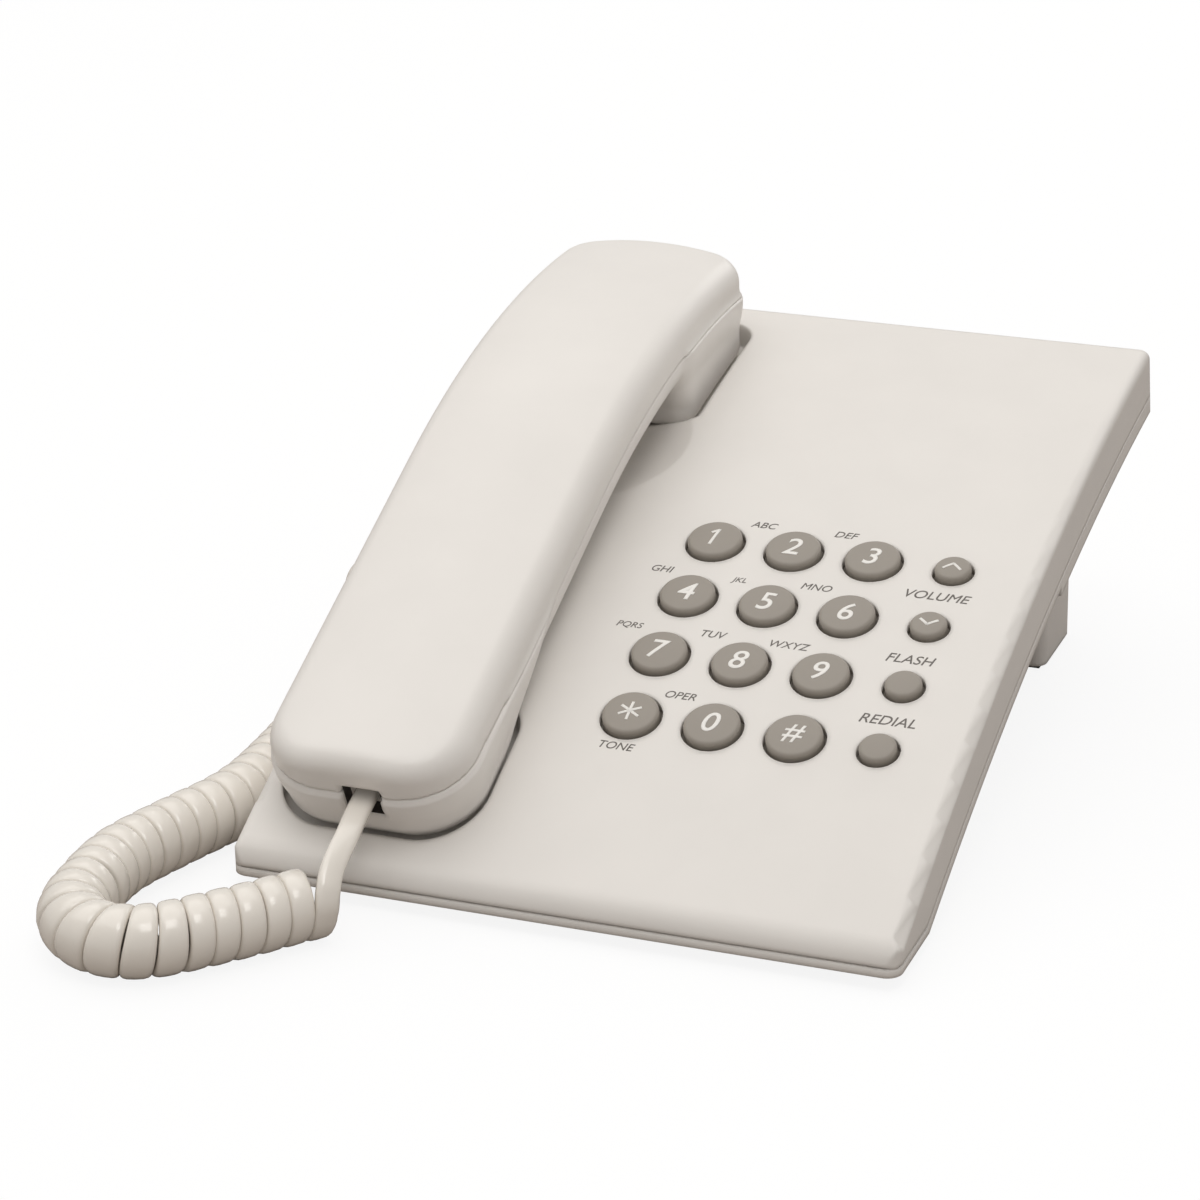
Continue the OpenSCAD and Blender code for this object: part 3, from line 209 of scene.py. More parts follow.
def tube_mesh(name, line, out, width, thick, sides=16):
    """Flat tube along a line, its width square to the outward side: a ribbon with round shoulders,
    much fuller than an ellipse."""
    n = len(line)
    d = np.gradient(line, axis=0)
    d /= np.linalg.norm(d, axis=1)[:, None]
    o = out - (out * d).sum(1)[:, None] * d
    o /= np.linalg.norm(o, axis=1)[:, None]
    w = np.cross(d, o)
    a = 2 * np.pi * np.arange(sides) / sides
    c, s = np.cos(a), np.sin(a)
    cx = np.sign(c) * np.abs(c) ** SHOULDER
    sx = np.sign(s) * np.abs(s) ** SHOULDER
    v = (line[:, None, :] + (width[:, None] / 2 * cx[None, :])[:, :, None] * w[:, None, :]
         + (thick / 2 * sx)[None, :, None] * o[:, None, :])
    faces = []
    for i in range(n - 1):
        for j in range(sides):
            k = (j + 1) % sides
            faces.append((i * sides + j, i * sides + k, (i + 1) * sides + k, (i + 1) * sides + j))
    faces.append(tuple(range(sides - 1, -1, -1)))
    faces.append(tuple(range((n - 1) * sides, n * sides)))
    return new_mesh(name, v.reshape(-1, 3), faces)


def new_mesh(name, points_mm, faces, smooth=True):
    """Object from points in mm from the line under the front of the top face."""
    me = bpy.data.meshes.new(name)
    me.from_pydata([tuple(p) for p in metres(points_mm)], [], [tuple(int(i) for i in f) for f in faces])
    me.validate()
    me.update()
    if smooth:
        me.polygons.foreach_set("use_smooth", [True] * len(me.polygons))
    ob = bpy.data.objects.new(name, me)
    bpy.context.scene.collection.objects.link(ob)
    return ob


line, outward, strand_width = cord_path()
cord = tube_mesh("coiled_cord", line, outward, strand_width, STRAND_T)

# ------------------------------------------------------------------ materials


def linear(rgb):
    """Screen colour from 0 to 255 as linear light."""
    return tuple((c / 12.92 if c <= 0.04045 else ((c + 0.055) / 1.055) ** 2.4)
                 for c in (v / 255.0 for v in rgb))


def plastic(name, rgb, rough=0.45, grain=0.00045, bump=0.035, vary=0.012, edge=0.25,
            edge_r=0.0004, spec=0.5, coat=0.0, metal=0.0, samples=4):
    """Moulded plastic (or plain metal): base colour with slow variation, fine grain as bump, softly
    rounded edges, and colour lightened near the edges as a painted highlight."""
    m = bpy.data.materials.new(name)
    m.use_nodes = True
    nt = m.node_tree
    nt.nodes.clear()
    new, link = nt.nodes.new, nt.links.new
    out, bsdf = new("ShaderNodeOutputMaterial"), new("ShaderNodeBsdfPrincipled")
    link(bsdf.outputs[0], out.inputs[0])
    co = new("ShaderNodeTexCoord")
    slow = new("ShaderNodeTexNoise")
    slow.inputs["Scale"].default_value = 60.0
    slow.inputs["Detail"].default_value = 3.0
    link(co.outputs["Object"], slow.inputs["Vector"])
    fine = new("ShaderNodeTexNoise")
    fine.inputs["Scale"].default_value = 1.0 / grain
    fine.inputs["Detail"].default_value = 2.0
    link(co.outputs["Object"], fine.inputs["Vector"])
    col = linear(rgb)
    ramp = new("ShaderNodeValToRGB")
    ramp.color_ramp.elements[0].position = 0.3
    ramp.color_ramp.elements[1].position = 0.7
    ramp.color_ramp.elements[0].color = tuple(c * (1 - vary) for c in col) + (1,)
    ramp.color_ramp.elements[1].color = tuple(min(1, c * (1 + vary)) for c in col) + (1,)
    link(slow.outputs["Fac"], ramp.inputs["Fac"])
    bev = new("ShaderNodeBevel")
    bev.samples = samples
    bev.inputs["Radius"].default_value = edge_r
    geo = new("ShaderNodeNewGeometry")
    dot = new("ShaderNodeVectorMath")
    dot.operation = "DOT_PRODUCT"
    link(bev.outputs["Normal"], dot.inputs[0])
    link(geo.outputs["Normal"], dot.inputs[1])
    # Painted highlight: the colour is lightened where the rounded-edge normal turns away from the
    # face's own normal
    edge_highlight = new("ShaderNodeMapRange")
    edge_highlight.inputs["From Min"].default_value = 0.985
    edge_highlight.inputs["From Max"].default_value = 0.80
    edge_highlight.inputs["To Min"].default_value = 0.0
    edge_highlight.inputs["To Max"].default_value = edge
    link(dot.outputs["Value"], edge_highlight.inputs["Value"])
    mix = new("ShaderNodeMix")
    mix.data_type = "RGBA"
    link(edge_highlight.outputs["Result"], mix.inputs["Factor"])
    link(ramp.outputs["Color"], mix.inputs["A"])
    mix.inputs["B"].default_value = tuple(min(1.0, c * 1.12 + 0.01) for c in col) + (1,)
    link(mix.outputs["Result"], bsdf.inputs["Base Color"])
    rr = new("ShaderNodeMapRange")
    rr.inputs["To Min"].default_value = rough - 0.05
    rr.inputs["To Max"].default_value = rough + 0.07
    link(fine.outputs["Fac"], rr.inputs["Value"])
    link(rr.outputs["Result"], bsdf.inputs["Roughness"])
    bp = new("ShaderNodeBump")
    bp.inputs["Strength"].default_value = bump
    bp.inputs["Distance"].default_value = 0.0002
    link(fine.outputs["Fac"], bp.inputs["Height"])
    link(bev.outputs["Normal"], bp.inputs["Normal"])
    link(bp.outputs["Normal"], bsdf.inputs["Normal"])
    bsdf.inputs["Specular IOR Level"].default_value = spec
    bsdf.inputs["Metallic"].default_value = metal
    if coat:
        bsdf.inputs["Coat Weight"].default_value = coat
        bsdf.inputs["Coat Roughness"].default_value = 0.14
    return m


M = {
    # edge sets the painted highlight along rounded edges: a light band on the case's rounded edges
    "case_plastic": plastic("case_plastic", (226, 222, 217), rough=0.5, edge=0.12, edge_r=0.0015,
                            samples=8),
    "handset_plastic": plastic("handset_plastic", (229, 225, 220), rough=0.36, bump=0.02,
                               edge_r=0.0003),
    # Strong painted highlight on the keys' rims and sides, standing in for the light they get from the
    # white top
    "key_plastic": plastic("key_plastic", (150, 143, 134), rough=0.5, edge=0.6, edge_r=0.0007),
    "dark_plastic": plastic("dark_plastic", (44, 40, 38), rough=0.5),
    "rubber_pad": plastic("rubber_pad", (60, 56, 54), rough=0.8, bump=0.1, spec=0.3),
    "silicone": plastic("silicone", (192, 196, 199), rough=0.6),
    "board": plastic("board", (32, 92, 52), rough=0.4),
    "steel": plastic("steel", (176, 178, 182), rough=0.3, metal=1.0, grain=0.002),
    "capacitor": plastic("capacitor", (36, 50, 110), rough=0.35),
    "cord_jacket": plastic("cord_jacket", (232, 226, 217), rough=0.22, bump=0.01, vary=0.012,
                           edge_r=0.0002, spec=0.55, coat=0.6),
    "plug_plastic": plastic("plug_plastic", (70, 66, 62), rough=0.25),
}
SLOT = {sp["node"]: sp["material_slot"] for sp in frame["record"]["subparts"]}


def dress(ob, slot):
    """Gives a piece one material."""
    ob.data.materials.clear()
    ob.data.materials.append(M[slot])


for name, ob in NODES.items():
    for ms in ob.material_slots:
        ms.material = M[SLOT[name]]
    if not ob.material_slots:
        ob.data.materials.append(M[SLOT[name]])
for name in ("upper_case", "lower_case", "stand"):
    # Long thin faces beside small rounds: the large faces lead the shading
    even = NODES[name].modifiers.new("even", "WEIGHTED_NORMAL")
    even.keep_sharp = True

dress(cord, "cord_jacket")
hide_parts("cord_tail_handset", "curly_cord", "cord_tail_base")
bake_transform(cord)

# ------------------------------------------------------------------ handset: rounded solid
GRIP_R = 230.0
GRIP_Y = BEND_Y + GRIP_R * math.sin(TILT)
GRIP_Z = BEND_Z - GRIP_R * math.cos(TILT)
HAND_W, HAND_END, FRONT_R, REAR_R = 46.7, 190.0, 15.0, 8.0
CROWN_H, SEAM_T, UNDER_T = 3.2, 8.2, 8.0
CREASE_DROP, FRONT_BOW = 4.0, 120.0
MOUTH_END, MOUTH_UNDER, MOUTH_SINK = 33.0, 22.9, 4.1
EAR_START, EAR_LEAN, EAR_LEAN_H, EAR_SINK = 147.0, 4.0, 16.0, 4.5
BLOCK_TOP = 9.0


def r_max(a, b, r):
    """Both at once, with a round edge of radius r."""
    return (np.minimum(np.maximum(a, b), -r)
            + np.hypot(np.maximum(a + r, 0), np.maximum(b + r, 0)))


def r_min(a, b, r):
    """Either one, with a round inner corner of radius r."""
    return (np.maximum(np.minimum(a, b), r)
            - np.hypot(np.maximum(r - a, 0), np.maximum(r - b, 0)))


def along(p):
    """Place along the handset from its bend, and height over its ridge line."""
    ry, rz = p[..., 1] - GRIP_Y, p[..., 2] - GRIP_Z
    phi = np.arctan2(-ry, rz)
    dy, dz = p[..., 1] - BEND_Y, p[..., 2] - BEND_Z
    straight = phi > TILT
    a = np.where(straight, dy * math.cos(TILT) + dz * math.sin(TILT), GRIP_R * (TILT - phi))
    h = np.where(straight, -dy * math.sin(TILT) + dz * math.cos(TILT), np.hypot(ry, rz) - GRIP_R)
    return a, h


def arc_depth(p, depth):
    """Distance under the surface that lies depth under the base's top face."""
    return (ARC_R - depth) - np.hypot(p[..., 1] - ARC_Y, p[..., 2] - ARC_Z)


def handset_field(p):
    """Distance to the handset's outside: negative inside it."""
    x = p[..., 0] - HAND_X
    ax = np.abs(x)
    a, h = along(p)
    y, z = p[..., 1], p[..., 2]
    half = HAND_W / 2
    # Front end: square to the ridge line above the crease, bowed back below it
    lip = CROWN_H - CREASE_DROP
    front = np.where(h > lip, NOSE_A - a, np.hypot(a - NOSE_A - FRONT_BOW, h - lip) - FRONT_BOW)
    front = np.where((h <= lip) & (a > NOSE_A + FRONT_BOW), -FRONT_BOW, front)

    def plan(end, r):
        """Both long sides and one end, with round corners between them."""
        qx, qe = ax - (half - r), end + r
        return np.hypot(np.maximum(qx, 0), np.maximum(qe, 0)) + np.minimum(np.maximum(qx, qe), 0) - r

    rear_end = plan(y - HAND_END, REAR_R)
    sides = np.maximum(plan(front, FRONT_R), rear_end)
    crown_r = (half ** 2 + CROWN_H ** 2) / (2 * CROWN_H)
    crown = np.hypot(ax, h + crown_r - CROWN_H) - crown_r
    grip = r_max(sides, crown, 4.5)
    grip = r_max(grip, -(SEAM_T + UNDER_T) - h, 6.5)
    # Mouthpiece block
    over_well = z - (top_z(MOUTH_END) - 2.0)
    slant = (y - MOUTH_END) * 0.7141 - over_well * 0.70
    rear = np.where(over_well < 0, y - MOUTH_END, slant)
    mouth = r_max(sides, -MOUTH_UNDER - h, 5.5)
    mouth = r_max(mouth, arc_depth(p, MOUTH_SINK), 1.5)
    mouth = r_max(mouth, rear, 3.0)
    mouth = np.maximum(mouth, h + BLOCK_TOP)
    # Earpiece block
    lean = EAR_LEAN * np.clip((z - top_z(EAR_START)) / EAR_LEAN_H, 0, 1)
    ear = np.maximum(np.maximum(plan(EAR_START - lean - y, 5.0), rear_end), h + BLOCK_TOP)
    ear = r_max(ear, arc_depth(p, EAR_SINK), 1.5)
    return r_min(r_min(grip, mouth, 3.0), ear, 3.0)


def jack_field(p):
    """Distance to the room for the plug in the front end."""
    a, h = along(p)
    x = np.abs(p[..., 0] - HAND_X - PLUG_X)
    q = np.stack([x - 4.3, np.abs(h + 8.7) - 4.0, (a - NOSE_A) - PLUG_SINK + 0.6], axis=-1)
    return np.linalg.norm(np.maximum(q, 0), axis=-1) + np.minimum(q.max(-1), 0)


def shell_field(p, upper, gap=0.03):
    """Upper or lower shell, as a solid that ends at the parting line: the upper one's edge is
    rolled under, and the line climbs a little towards the front end."""
    a, h = along(p)
    d = r_max(handset_field(p), -jack_field(p), 0.5)
    seam = SEAM_T - 1.3 * np.clip((-50.0 - a) / 35.0, 0, 1)
    return r_max(d, gap - seam - h, 0.3) if upper else r_max(d, h + seam + gap, 0.15)


def unrolled(q):
    """Real place of a point given as across, along and height over the ridge line."""
    x, a, h = q[..., 0], q[..., 1], q[..., 2]
    turn = TILT - np.maximum(a, 0) / GRIP_R
    r = GRIP_R + h
    flat = np.minimum(a, 0)
    y = GRIP_Y - r * np.sin(turn) + flat * math.cos(TILT)
    z = GRIP_Z + r * np.cos(turn) + flat * math.sin(TILT)
    return np.stack([x + HAND_X, y, z], axis=-1)


def net(field, grid, polish=4):
    """Mesh of a field's zero surface over three lists of grid lines: one point per crossed cell,
    then pulled onto the surface."""
    count = [len(g) for g in grid]
    n = [c - 1 for c in count]
    f = np.empty(count)
    for i in range(count[0]):
        b, c = np.meshgrid(grid[1], grid[2], indexing="ij")
        f[i] = field(np.stack([np.full_like(b, grid[0][i]), b, c], axis=-1))
    inside = f < 0
    total = np.zeros(tuple(n) + (3,))
    hits = np.zeros(tuple(n))
    for axis in range(3):
        b, c = (axis + 1) % 3, (axis + 2) % 3
        for ob in (0, 1):
            for oc in (0, 1):
                s0, s1 = [None] * 3, [None] * 3
                s0[axis], s1[axis] = slice(0, n[axis]), slice(1, n[axis] + 1)
                s0[b] = s1[b] = slice(ob, ob + n[b])
                s0[c] = s1[c] = slice(oc, oc + n[c])
                f0, f1 = f[tuple(s0)], f[tuple(s1)]
                cross = inside[tuple(s0)] != inside[tuple(s1)]
                hits += cross
                total[..., axis] += np.where(cross, f0 / np.where(cross, f0 - f1, 1), 0)
                total[..., b] += cross * ob
                total[..., c] += cross * oc
    active = hits > 0
    index = -np.ones(tuple(n), int)
    index[active] = np.arange(active.sum())
    cells = np.argwhere(active)
    part = total[active] / hits[active][:, None]
    v = np.stack([grid[k][cells[:, k]] + part[:, k] * (grid[k][cells[:, k] + 1] - grid[k][cells[:, k]])
                  for k in range(3)], axis=-1)
    small = min(float(np.diff(g).min()) for g in grid)
    quads = []
    for axis in range(3):
        b, c = (axis + 1) % 3, (axis + 2) % 3
        s0, s1 = [slice(1, -1)] * 3, [slice(1, -1)] * 3
        s0[axis], s1[axis] = slice(0, n[axis]), slice(1, n[axis] + 1)
        i0, i1 = inside[tuple(s0)], inside[tuple(s1)]
        for flip, mask in ((False, i0 & ~i1), (True, ~i0 & i1)):
            e = np.argwhere(mask)
            e[:, b] += 1
            e[:, c] += 1
            ring = []
            for ob, oc in ((-1, -1), (0, -1), (0, 0), (-1, 0)):
                q = e.copy()
                q[:, b] += ob
                q[:, c] += oc
                ring.append(index[q[:, 0], q[:, 1], q[:, 2]])
            ring = np.stack(ring, axis=1)
            quads.append(ring[:, ::-1] if flip else ring)
    for _ in range(polish):
        f0 = field(v)
        g = np.stack([(field(v + 0.02 * np.eye(3)[k]) - field(v - 0.02 * np.eye(3)[k])) / 0.04
                      for k in range(3)], axis=-1)
        g2 = np.maximum((g * g).sum(-1), 0.25)
        move = -(f0 / g2)[:, None] * g
        size = np.linalg.norm(move, axis=1)
        v += move * np.minimum(1, 0.5 * small / np.maximum(size, 1e-9))[:, None]
    return v, np.concatenate(quads)


def lines(*spans):
    """Grid lines through spans of (from, to, step)."""
    out = []
    for lo, hi, step in spans:
        out.extend(np.linspace(lo, hi, max(1, int(round((hi - lo) / step))) + 1)[:-1])
    return np.array(out + [spans[-1][1]])


HAND_GRID = (
    lines((-24.5, -15, 0.8), (-15, 15, 1.5), (15, 24.5, 0.8)),
    lines((-98, -76, 0.85), (-76, -14, 1.3), (-14, 52, 2.6), (52, 78, 1.3), (78, 111.5, 0.9)),
    lines((-34, -9.2, 0.85), (-9.2, -7.2, 0.4), (-7.2, 4.2, 0.8)),
)


def handset_half(upper):
    """Points and faces of one shell, netted along its ridge line and then bent to its place."""
    v, quads = net(lambda q: shell_field(unrolled(q), upper), HAND_GRID)
    return unrolled(v), quads


for name, upper in (("handset_upper", True), ("handset_lower", False)):
    points, quads = handset_half(upper)
    ob = new_mesh(name, points, quads)
    dress(ob, "handset_plastic")
    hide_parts(name + "_shell")
    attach(ob, "handset")


def add_jack_sleeve():
    """Dark sheet that lines the opening round the plug's cord end, as painted shade inside the opening.
    """
    x, low, high = 4.25, -12.6, -4.8
    ring = [(-x, low), (x, low), (x, high), (-x, high)]
    flat = [(PLUG_X + px, NOSE_A + depth, h) for depth in (0.9, PLUG_SINK) for px, h in ring]
    faces = [(k, (k + 1) % 4, 4 + (k + 1) % 4, 4 + k) for k in range(4)]
    ob = new_mesh("jack_shade_lining", unrolled(np.array(flat)), faces, smooth=False)
    thick = ob.modifiers.new("wall", "SOLIDIFY")
    thick.thickness, thick.offset = 0.0002, 0.0
    # Painted shade: dark material on these walls stands in for the shadow inside the opening
    dress(ob, "dark_plastic")
    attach(ob, "handset")


add_jack_sleeve()

# ------------------------------------------------------------------ keys
KEY_PITCH_X, KEY_PITCH_S, KEYPAD_S = 18.65, 19.55, 47.7
KEY_LAST_X = 55.7
KEY_PROUD, KEY_DOME, KEY_EDGE, KEY_TAPER = 1.5, 0.5, 0.8, 0.25
HOLE_GAP = 0.48
FLANGE_DEPTH, FLANGE_T, STEM_R, STEM_H = 3.45, 0.9, 2.4, 1.2
KEYS = [(name, i % 3, 3 - i // 3, 13.0, ink) for i, (name, ink) in enumerate(
    [("key_%d" % n, str(n)) for n in range(1, 10)]
    + [("key_star", "*"), ("key_0", "0"), ("key_hash", "#")])]
KEYS += [("volume_up_key", 3, 3, 8.7, "up"), ("volume_down_key", 3, 2, 8.7, "down"),
         ("flash_key", 3, 1, 8.7, ""), ("redial_key", 3, 0, 8.7, "")]


def key_place(column, row):
    """Middle of a key: x, and place along the top face's arc."""
    return KEY_LAST_X - (3 - column) * KEY_PITCH_X, KEYPAD_S + row * KEY_PITCH_S


def dome_h(r, d):
    """Height of a key's crown over the top face at a distance from its middle."""
    return KEY_PROUD + KEY_DOME * (1 - (2 * r / d) ** 2)


def turned(profile, place, sides=64):
    """Points and faces of a profile of radius and height, turned about a place's normal."""
    o, across, up, n = top_frame(*place)
    points, faces = [], []
    for r, h in profile:
        for k in range(sides):
            a = 2 * math.pi * k / sides
            points.append(o + r * math.cos(a) * across + r * math.sin(a) * up + h * n)
    for i in range(len(profile) - 1):
        for k in range(sides):
            q = (k + 1) % sides
            faces.append((i * sides + k, i * sides + q, (i + 1) * sides + q, (i + 1) * sides + k))
    return points, faces


def add_key(name, column, row, d):
    """Round cap with a rolled rim and a crown, on its flange and stem, turned about its middle."""
    half = d / 2 - KEY_TAPER
    inner = half - KEY_EDGE
    mid = dome_h(inner, d) - KEY_EDGE
    bottom = -FLANGE_DEPTH
    profile = [(STEM_R, bottom - STEM_H), (STEM_R, bottom), (d / 2 + 1, bottom),
               (d / 2 + 1, bottom + FLANGE_T), (half, bottom + FLANGE_T), (half, 0.0)]
    profile += [(inner + KEY_EDGE * math.cos(t), mid + KEY_EDGE * math.sin(t))
                for t in np.linspace(0, math.pi / 2, 7)]
    profile += [(r, dome_h(r, d)) for r in inner * np.linspace(0.85, 0.15, 5)]
    place, sides = key_place(column, row), 64
    points, faces = turned(profile, place, sides)
    faces.append(tuple(range(sides - 1, -1, -1)))
    last = len(points) - sides
    o, _, _, n = top_frame(*place)
    points.append(o + dome_h(0, d) * n)
    faces += [(last + k, last + (k + 1) % sides, last + sides) for k in range(sides)]
    ob = new_mesh(name + "_cap", points, faces)
    ob.data.set_sharp_from_angle(angle=math.radians(40))
    dress(ob, "key_plastic")
    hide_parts(name)
    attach(ob, name)


def add_hole_rims():
    """Slightly raised round lip at the edge of every key's hole in the top face, as one piece."""
    points, faces = [], []
    for _, column, row, d, _ in KEYS:
        inner = d / 2 + HOLE_GAP
        profile = [(inner, -0.5), (inner, 0.02), (inner + 0.08, 0.11), (inner + 0.25, 0.15),
                   (inner + 0.45, 0.10), (inner + 0.62, -0.03)]
        rim, sheet = turned(profile, key_place(column, row))
        faces += [tuple(len(points) + k for k in face) for face in sheet]
        points += rim
    ob = new_mesh("key_hole_rims", points, faces)
    dress(ob, "case_plastic")
    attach(ob, "base")


add_hole_rims()

# ------------------------------------------------------------------ lettering
M["white_ink"] = plastic("white_ink", (236, 233, 228), rough=0.5, vary=0.01)
M["grey_ink"] = plastic("grey_ink", (112, 107, 102), rough=0.55, vary=0.02)
INK_T, INK_PROUD, DIGIT_H = 0.12, 0.05, 5.7


def glyphs(text, bold=0.0, slant=0.0):
    """Points and faces of a flat text, centred, one unit of height to its tallest sign."""
    data = bpy.data.curves.new("text", "FONT")
    data.body, data.offset, data.shear = text, bold, slant
    data.extrude, data.resolution_u, data.fill_mode = 0.01, 6, "BOTH"
    ob = bpy.data.objects.new("text", data)
    bpy.context.scene.collection.objects.link(ob)
    bpy.context.view_layer.update()
    me = bpy.data.meshes.new_from_object(ob.evaluated_get(bpy.context.evaluated_depsgraph_get()))
    v = np.array([p.co[:] for p in me.vertices])
    faces = [tuple(f.vertices) for f in me.polygons]
    bpy.data.objects.remove(ob)
    bpy.data.curves.remove(data)
    bpy.data.meshes.remove(me)
    low, high = v.min(0), v.max(0)
    v[:, :2] = (v[:, :2] - (low[:2] + high[:2]) / 2) / (high[1] - low[1])
    return v, faces


def cut_fine(v, faces, longest=0.14):
    """The same shape with no edge longer than longest, so that it can follow a curved crown."""
    bm = bmesh.new()
    points = [bm.verts.new(p) for p in v]
    for f in faces:
        if bm.faces.get([points[i] for i in f]) is None:
            bm.faces.new([points[i] for i in f])
    bmesh.ops.remove_doubles(bm, verts=bm.verts, dist=1e-4)
    for _ in range(5):
        bmesh.ops.triangulate(bm, faces=bm.faces)
        far = [e for e in bm.edges if e.calc_length() > longest]
        if not far:
            break
        bmesh.ops.subdivide_edges(bm, edges=far, cuts=1)
    bmesh.ops.triangulate(bm, faces=bm.faces)
    bm.verts.index_update()
    out = np.array([p.co[:] for p in bm.verts]), [tuple(q.index for q in f.verts) for f in bm.faces]
    bm.free()
    return out


def bars(ends, wide):
    """Points and faces of straight strokes, each from one place to another."""
    v, faces = [], []
    for a, b in ends:
        a, b = np.array(a, float), np.array(b, float)
        d = (b - a) / np.linalg.norm(b - a)
        side = np.array([-d[1], d[0]]) * wide / 2
        i = len(v)
        v += [(*p, z) for z in (-0.01, 0.01) for p in (a - side, b - side, b + side, a + side)]
        faces += [(i, i + 3, i + 2, i + 1), (i + 4, i + 5, i + 6, i + 7)]
        faces += [(i + k, i + (k + 1) % 4, i + 4 + (k + 1) % 4, i + 4 + k) for k in range(4)]
    return np.array(v), faces


def chevron(sign):
    """Arrow head that points up for 1 and down for -1."""
    top, foot = 0.45 * sign, -0.45 * sign
    return bars([((-1.0, foot), (0.04, top)), ((-0.04, top), (1.0, foot))], 0.3)


def star():
    """Six-armed star of three strokes."""
    arm = [(0.5 * math.sin(t), 0.5 * math.cos(t)) for t in (0, math.pi / 3, 2 * math.pi / 3)]
    return bars([(p, (-p[0], -p[1])) for p in arm], 0.12)


def add_ink(name, shape, size, place, height_at, slot, body):
    """Lays a flat shape on the top face or on a key's crown as a thin layer of ink."""
    v, faces = cut_fine(*shape)
    o, across, up, n = top_frame(*place)
    lift = np.where(v[:, 2] > 0, INK_PROUD, -INK_T)
    h = np.array([height_at(r) for r in size * np.hypot(v[:, 0], v[:, 1])]) + lift
    points = o + size * (v[:, :1] * across + v[:, 1:2] * up) + h[:, None] * n
    ob = new_mesh(name, points, faces, smooth=False)
    dress(ob, slot)
    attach(ob, body)


ONE = bars([((-0.07, -0.5), (0.07, 0.5)), ((0.08, 0.47), (-0.2, 0.24))], 0.13)
SIGNS = {"up": (chevron(1), 2.1), "down": (chevron(-1), 2.1), "*": (star(), 5.4), "1": (ONE, 5.6),
         "#": (glyphs("#", bold=0.010, slant=0.12), 5.3)}
for name, column, row, d, ink in KEYS:
    add_key(name, column, row, d)
    if ink:
        shape, size = SIGNS.get(ink) or (glyphs(ink, bold=0.012, slant=0.14), DIGIT_H)
        add_ink(name + "_ink", shape, size, key_place(column, row),
                lambda r, d=d: dome_h(r, d), "white_ink", name)

# Letters and function words: x and y of each one's middle, and its height
LABELS = [
    ("ABC", 8.8, 107.0, 2.1), ("DEF", 28.4, 107.0, 2.1), ("GHI", -9.1, 88.3, 2.1),
    ("JKL", 9.3, 87.5, 2.1), ("MNO", 27.3, 88.5, 2.1), ("PQRS", -10.1, 69.5, 2.1),
    ("TUV", 9.6, 69.9, 2.1), ("WXYZ", 27.3, 69.6, 2.1), ("OPER", 8.5, 51.1, 2.1),
    ("TONE", -0.5, 35.3, 2.1), ("VOLUME", 54.7, 90.5, 2.7), ("FLASH", 54.7, 70.2, 2.7),
    ("REDIAL", 55.2, 52.1, 2.7),
]
for text, x, y, size in LABELS:
    add_ink("label_" + text.lower(), glyphs(text, slant=0.25), size, (x, s_of(y)),
            lambda r: 0.0, "grey_ink", "base")

# ------------------------------------------------------------------ stage and light


def floor_material():
    """White paper as the camera sees it, with a faint shadow; a duller table for the light that
    comes back up from it."""
    mat = bpy.data.materials.new("floor")
    mat.use_nodes = True
    nt = mat.node_tree
    new, link = nt.nodes.new, nt.links.new
    paper = nt.nodes["Principled BSDF"]
    paper.inputs["Roughness"].default_value = 0.9
    paper.inputs["Specular IOR Level"].default_value = 0.1
    lp, colour = new("ShaderNodeLightPath"), new("ShaderNodeMix")
    colour.data_type = "RGBA"
    colour.inputs["A"].default_value = (0.38, 0.34, 0.31, 1)
    colour.inputs["B"].default_value = (0.97, 0.97, 0.97, 1)
    link(lp.outputs["Is Camera Ray"], colour.inputs["Factor"])
    link(colour.outputs["Result"], paper.inputs["Base Color"])
    share, white, mix = new("ShaderNodeMath"), new("ShaderNodeEmission"), new("ShaderNodeMixShader")
    share.operation = "MULTIPLY"
    share.inputs[1].default_value = 0.88
    link(lp.outputs["Is Camera Ray"], share.inputs[0])
    link(share.outputs[0], mix.inputs[0])
    link(paper.outputs[0], mix.inputs[1])
    link(white.outputs[0], mix.inputs[2])
    link(mix.outputs[0], nt.nodes["Material Output"].inputs[0])
    return mat


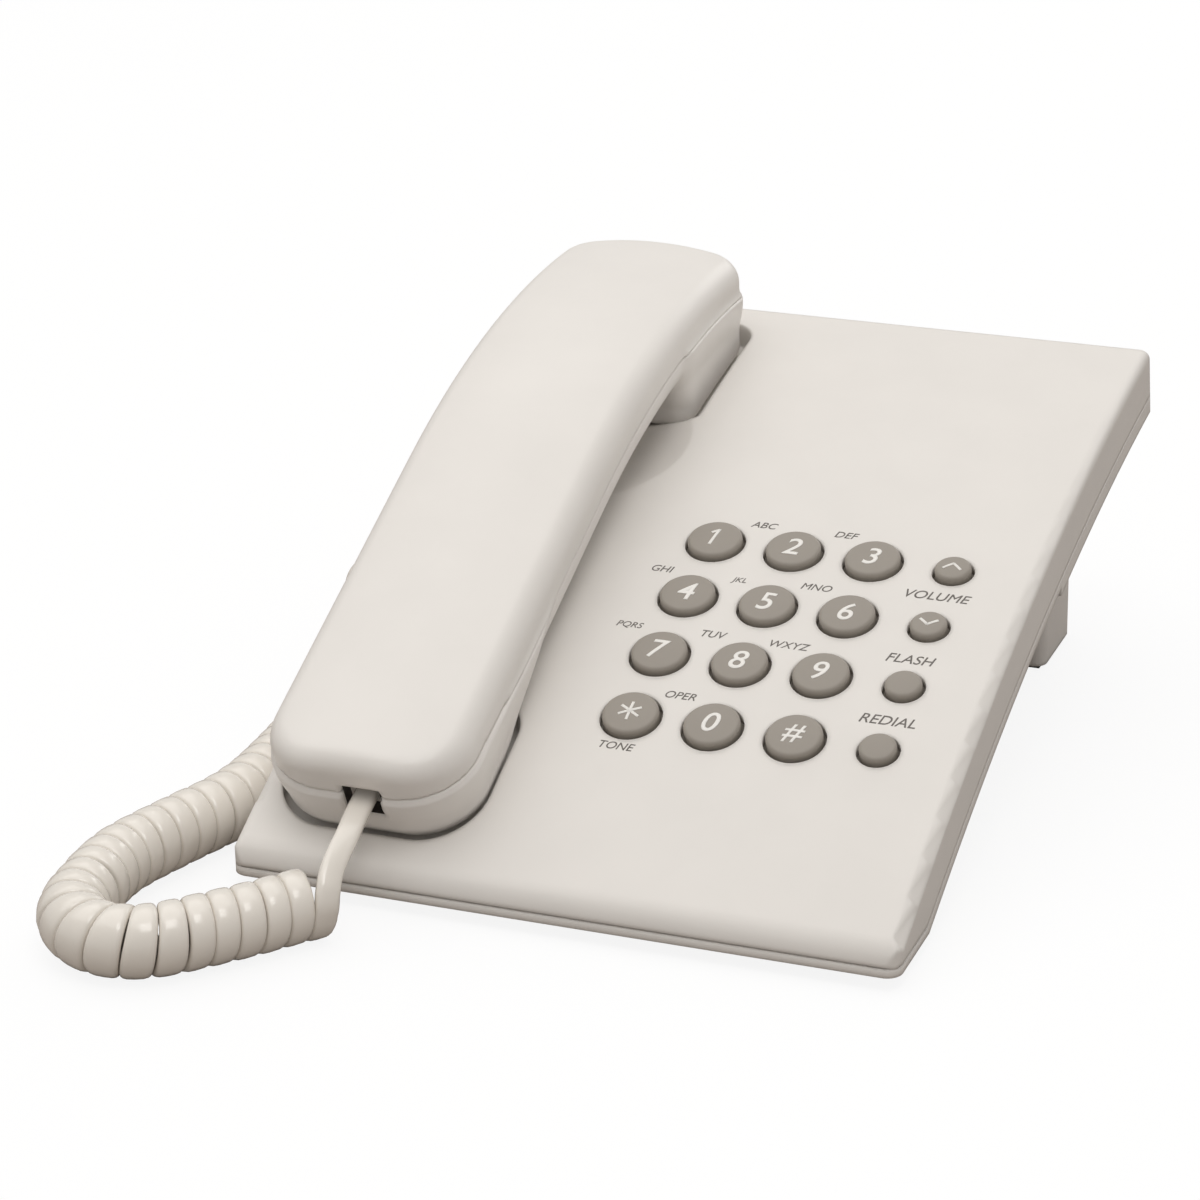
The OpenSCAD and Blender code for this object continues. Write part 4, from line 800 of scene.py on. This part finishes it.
def add_stage():
    """World, floor and three large soft lights."""
    world = bpy.data.worlds.new("world")
    bpy.context.scene.world = world
    world.use_nodes = True
    nt = world.node_tree
    nt.nodes.clear()
    new, link = nt.nodes.new, nt.links.new
    out, mix = new("ShaderNodeOutputWorld"), new("ShaderNodeMixShader")
    seen, lit = new("ShaderNodeBackground"), new("ShaderNodeBackground")
    seen.inputs[0].default_value = (1, 1, 1, 1)
    lit.inputs[0].default_value = (1.0, 0.985, 0.965, 1)
    # The studio is darker low down on the right
    co, dot, fill = new("ShaderNodeTexCoord"), new("ShaderNodeVectorMath"), new("ShaderNodeMapRange")
    dot.operation = "DOT_PRODUCT"
    dot.inputs[1].default_value = (0.94, 0.0, -0.34)
    fill.inputs["To Min"].default_value, fill.inputs["To Max"].default_value = 0.575, 0.42
    link(co.outputs["Generated"], dot.inputs[0])
    link(dot.outputs["Value"], fill.inputs["Value"])
    link(fill.outputs["Result"], lit.inputs[1])
    lp = new("ShaderNodeLightPath")
    link(lp.outputs["Is Camera Ray"], mix.inputs[0])
    link(lit.outputs[0], mix.inputs[1])
    link(seen.outputs[0], mix.inputs[2])
    link(mix.outputs[0], out.inputs[0])
    me = bpy.data.meshes.new("floor")
    half = 3.0
    me.from_pydata([(-half, -half, 0), (half, -half, 0), (half, half, 0), (-half, half, 0)], [],
                   [(0, 1, 2, 3)])
    floor = bpy.data.objects.new("floor", me)
    bpy.context.scene.collection.objects.link(floor)
    me.materials.append(floor_material())
    for name, loc, size, watts, colour in (
            ("key", (-0.6, 0.3, 1.95), 2.4, 17.5, (1.0, 0.98, 0.955)),
            ("top", (0.5, -0.6, 1.85), 0.9, 8.2, (1.0, 0.985, 0.97)),
            ("rim", (0.3, 1.6, 0.7), 0.7, 3.0, (1.0, 0.99, 0.98))):
        data = bpy.data.lights.new(name, "AREA")
        data.size, data.energy, data.color = size, watts, colour
        ob = bpy.data.objects.new(name, data)
        ob.location = loc
        ob.rotation_euler = (Vector((0, 0, 0.03)) - Vector(loc)).to_track_quat("-Z", "Y").to_euler()
        bpy.context.scene.collection.objects.link(ob)


add_stage()
bpy.context.scene.view_settings.view_transform = "Standard"
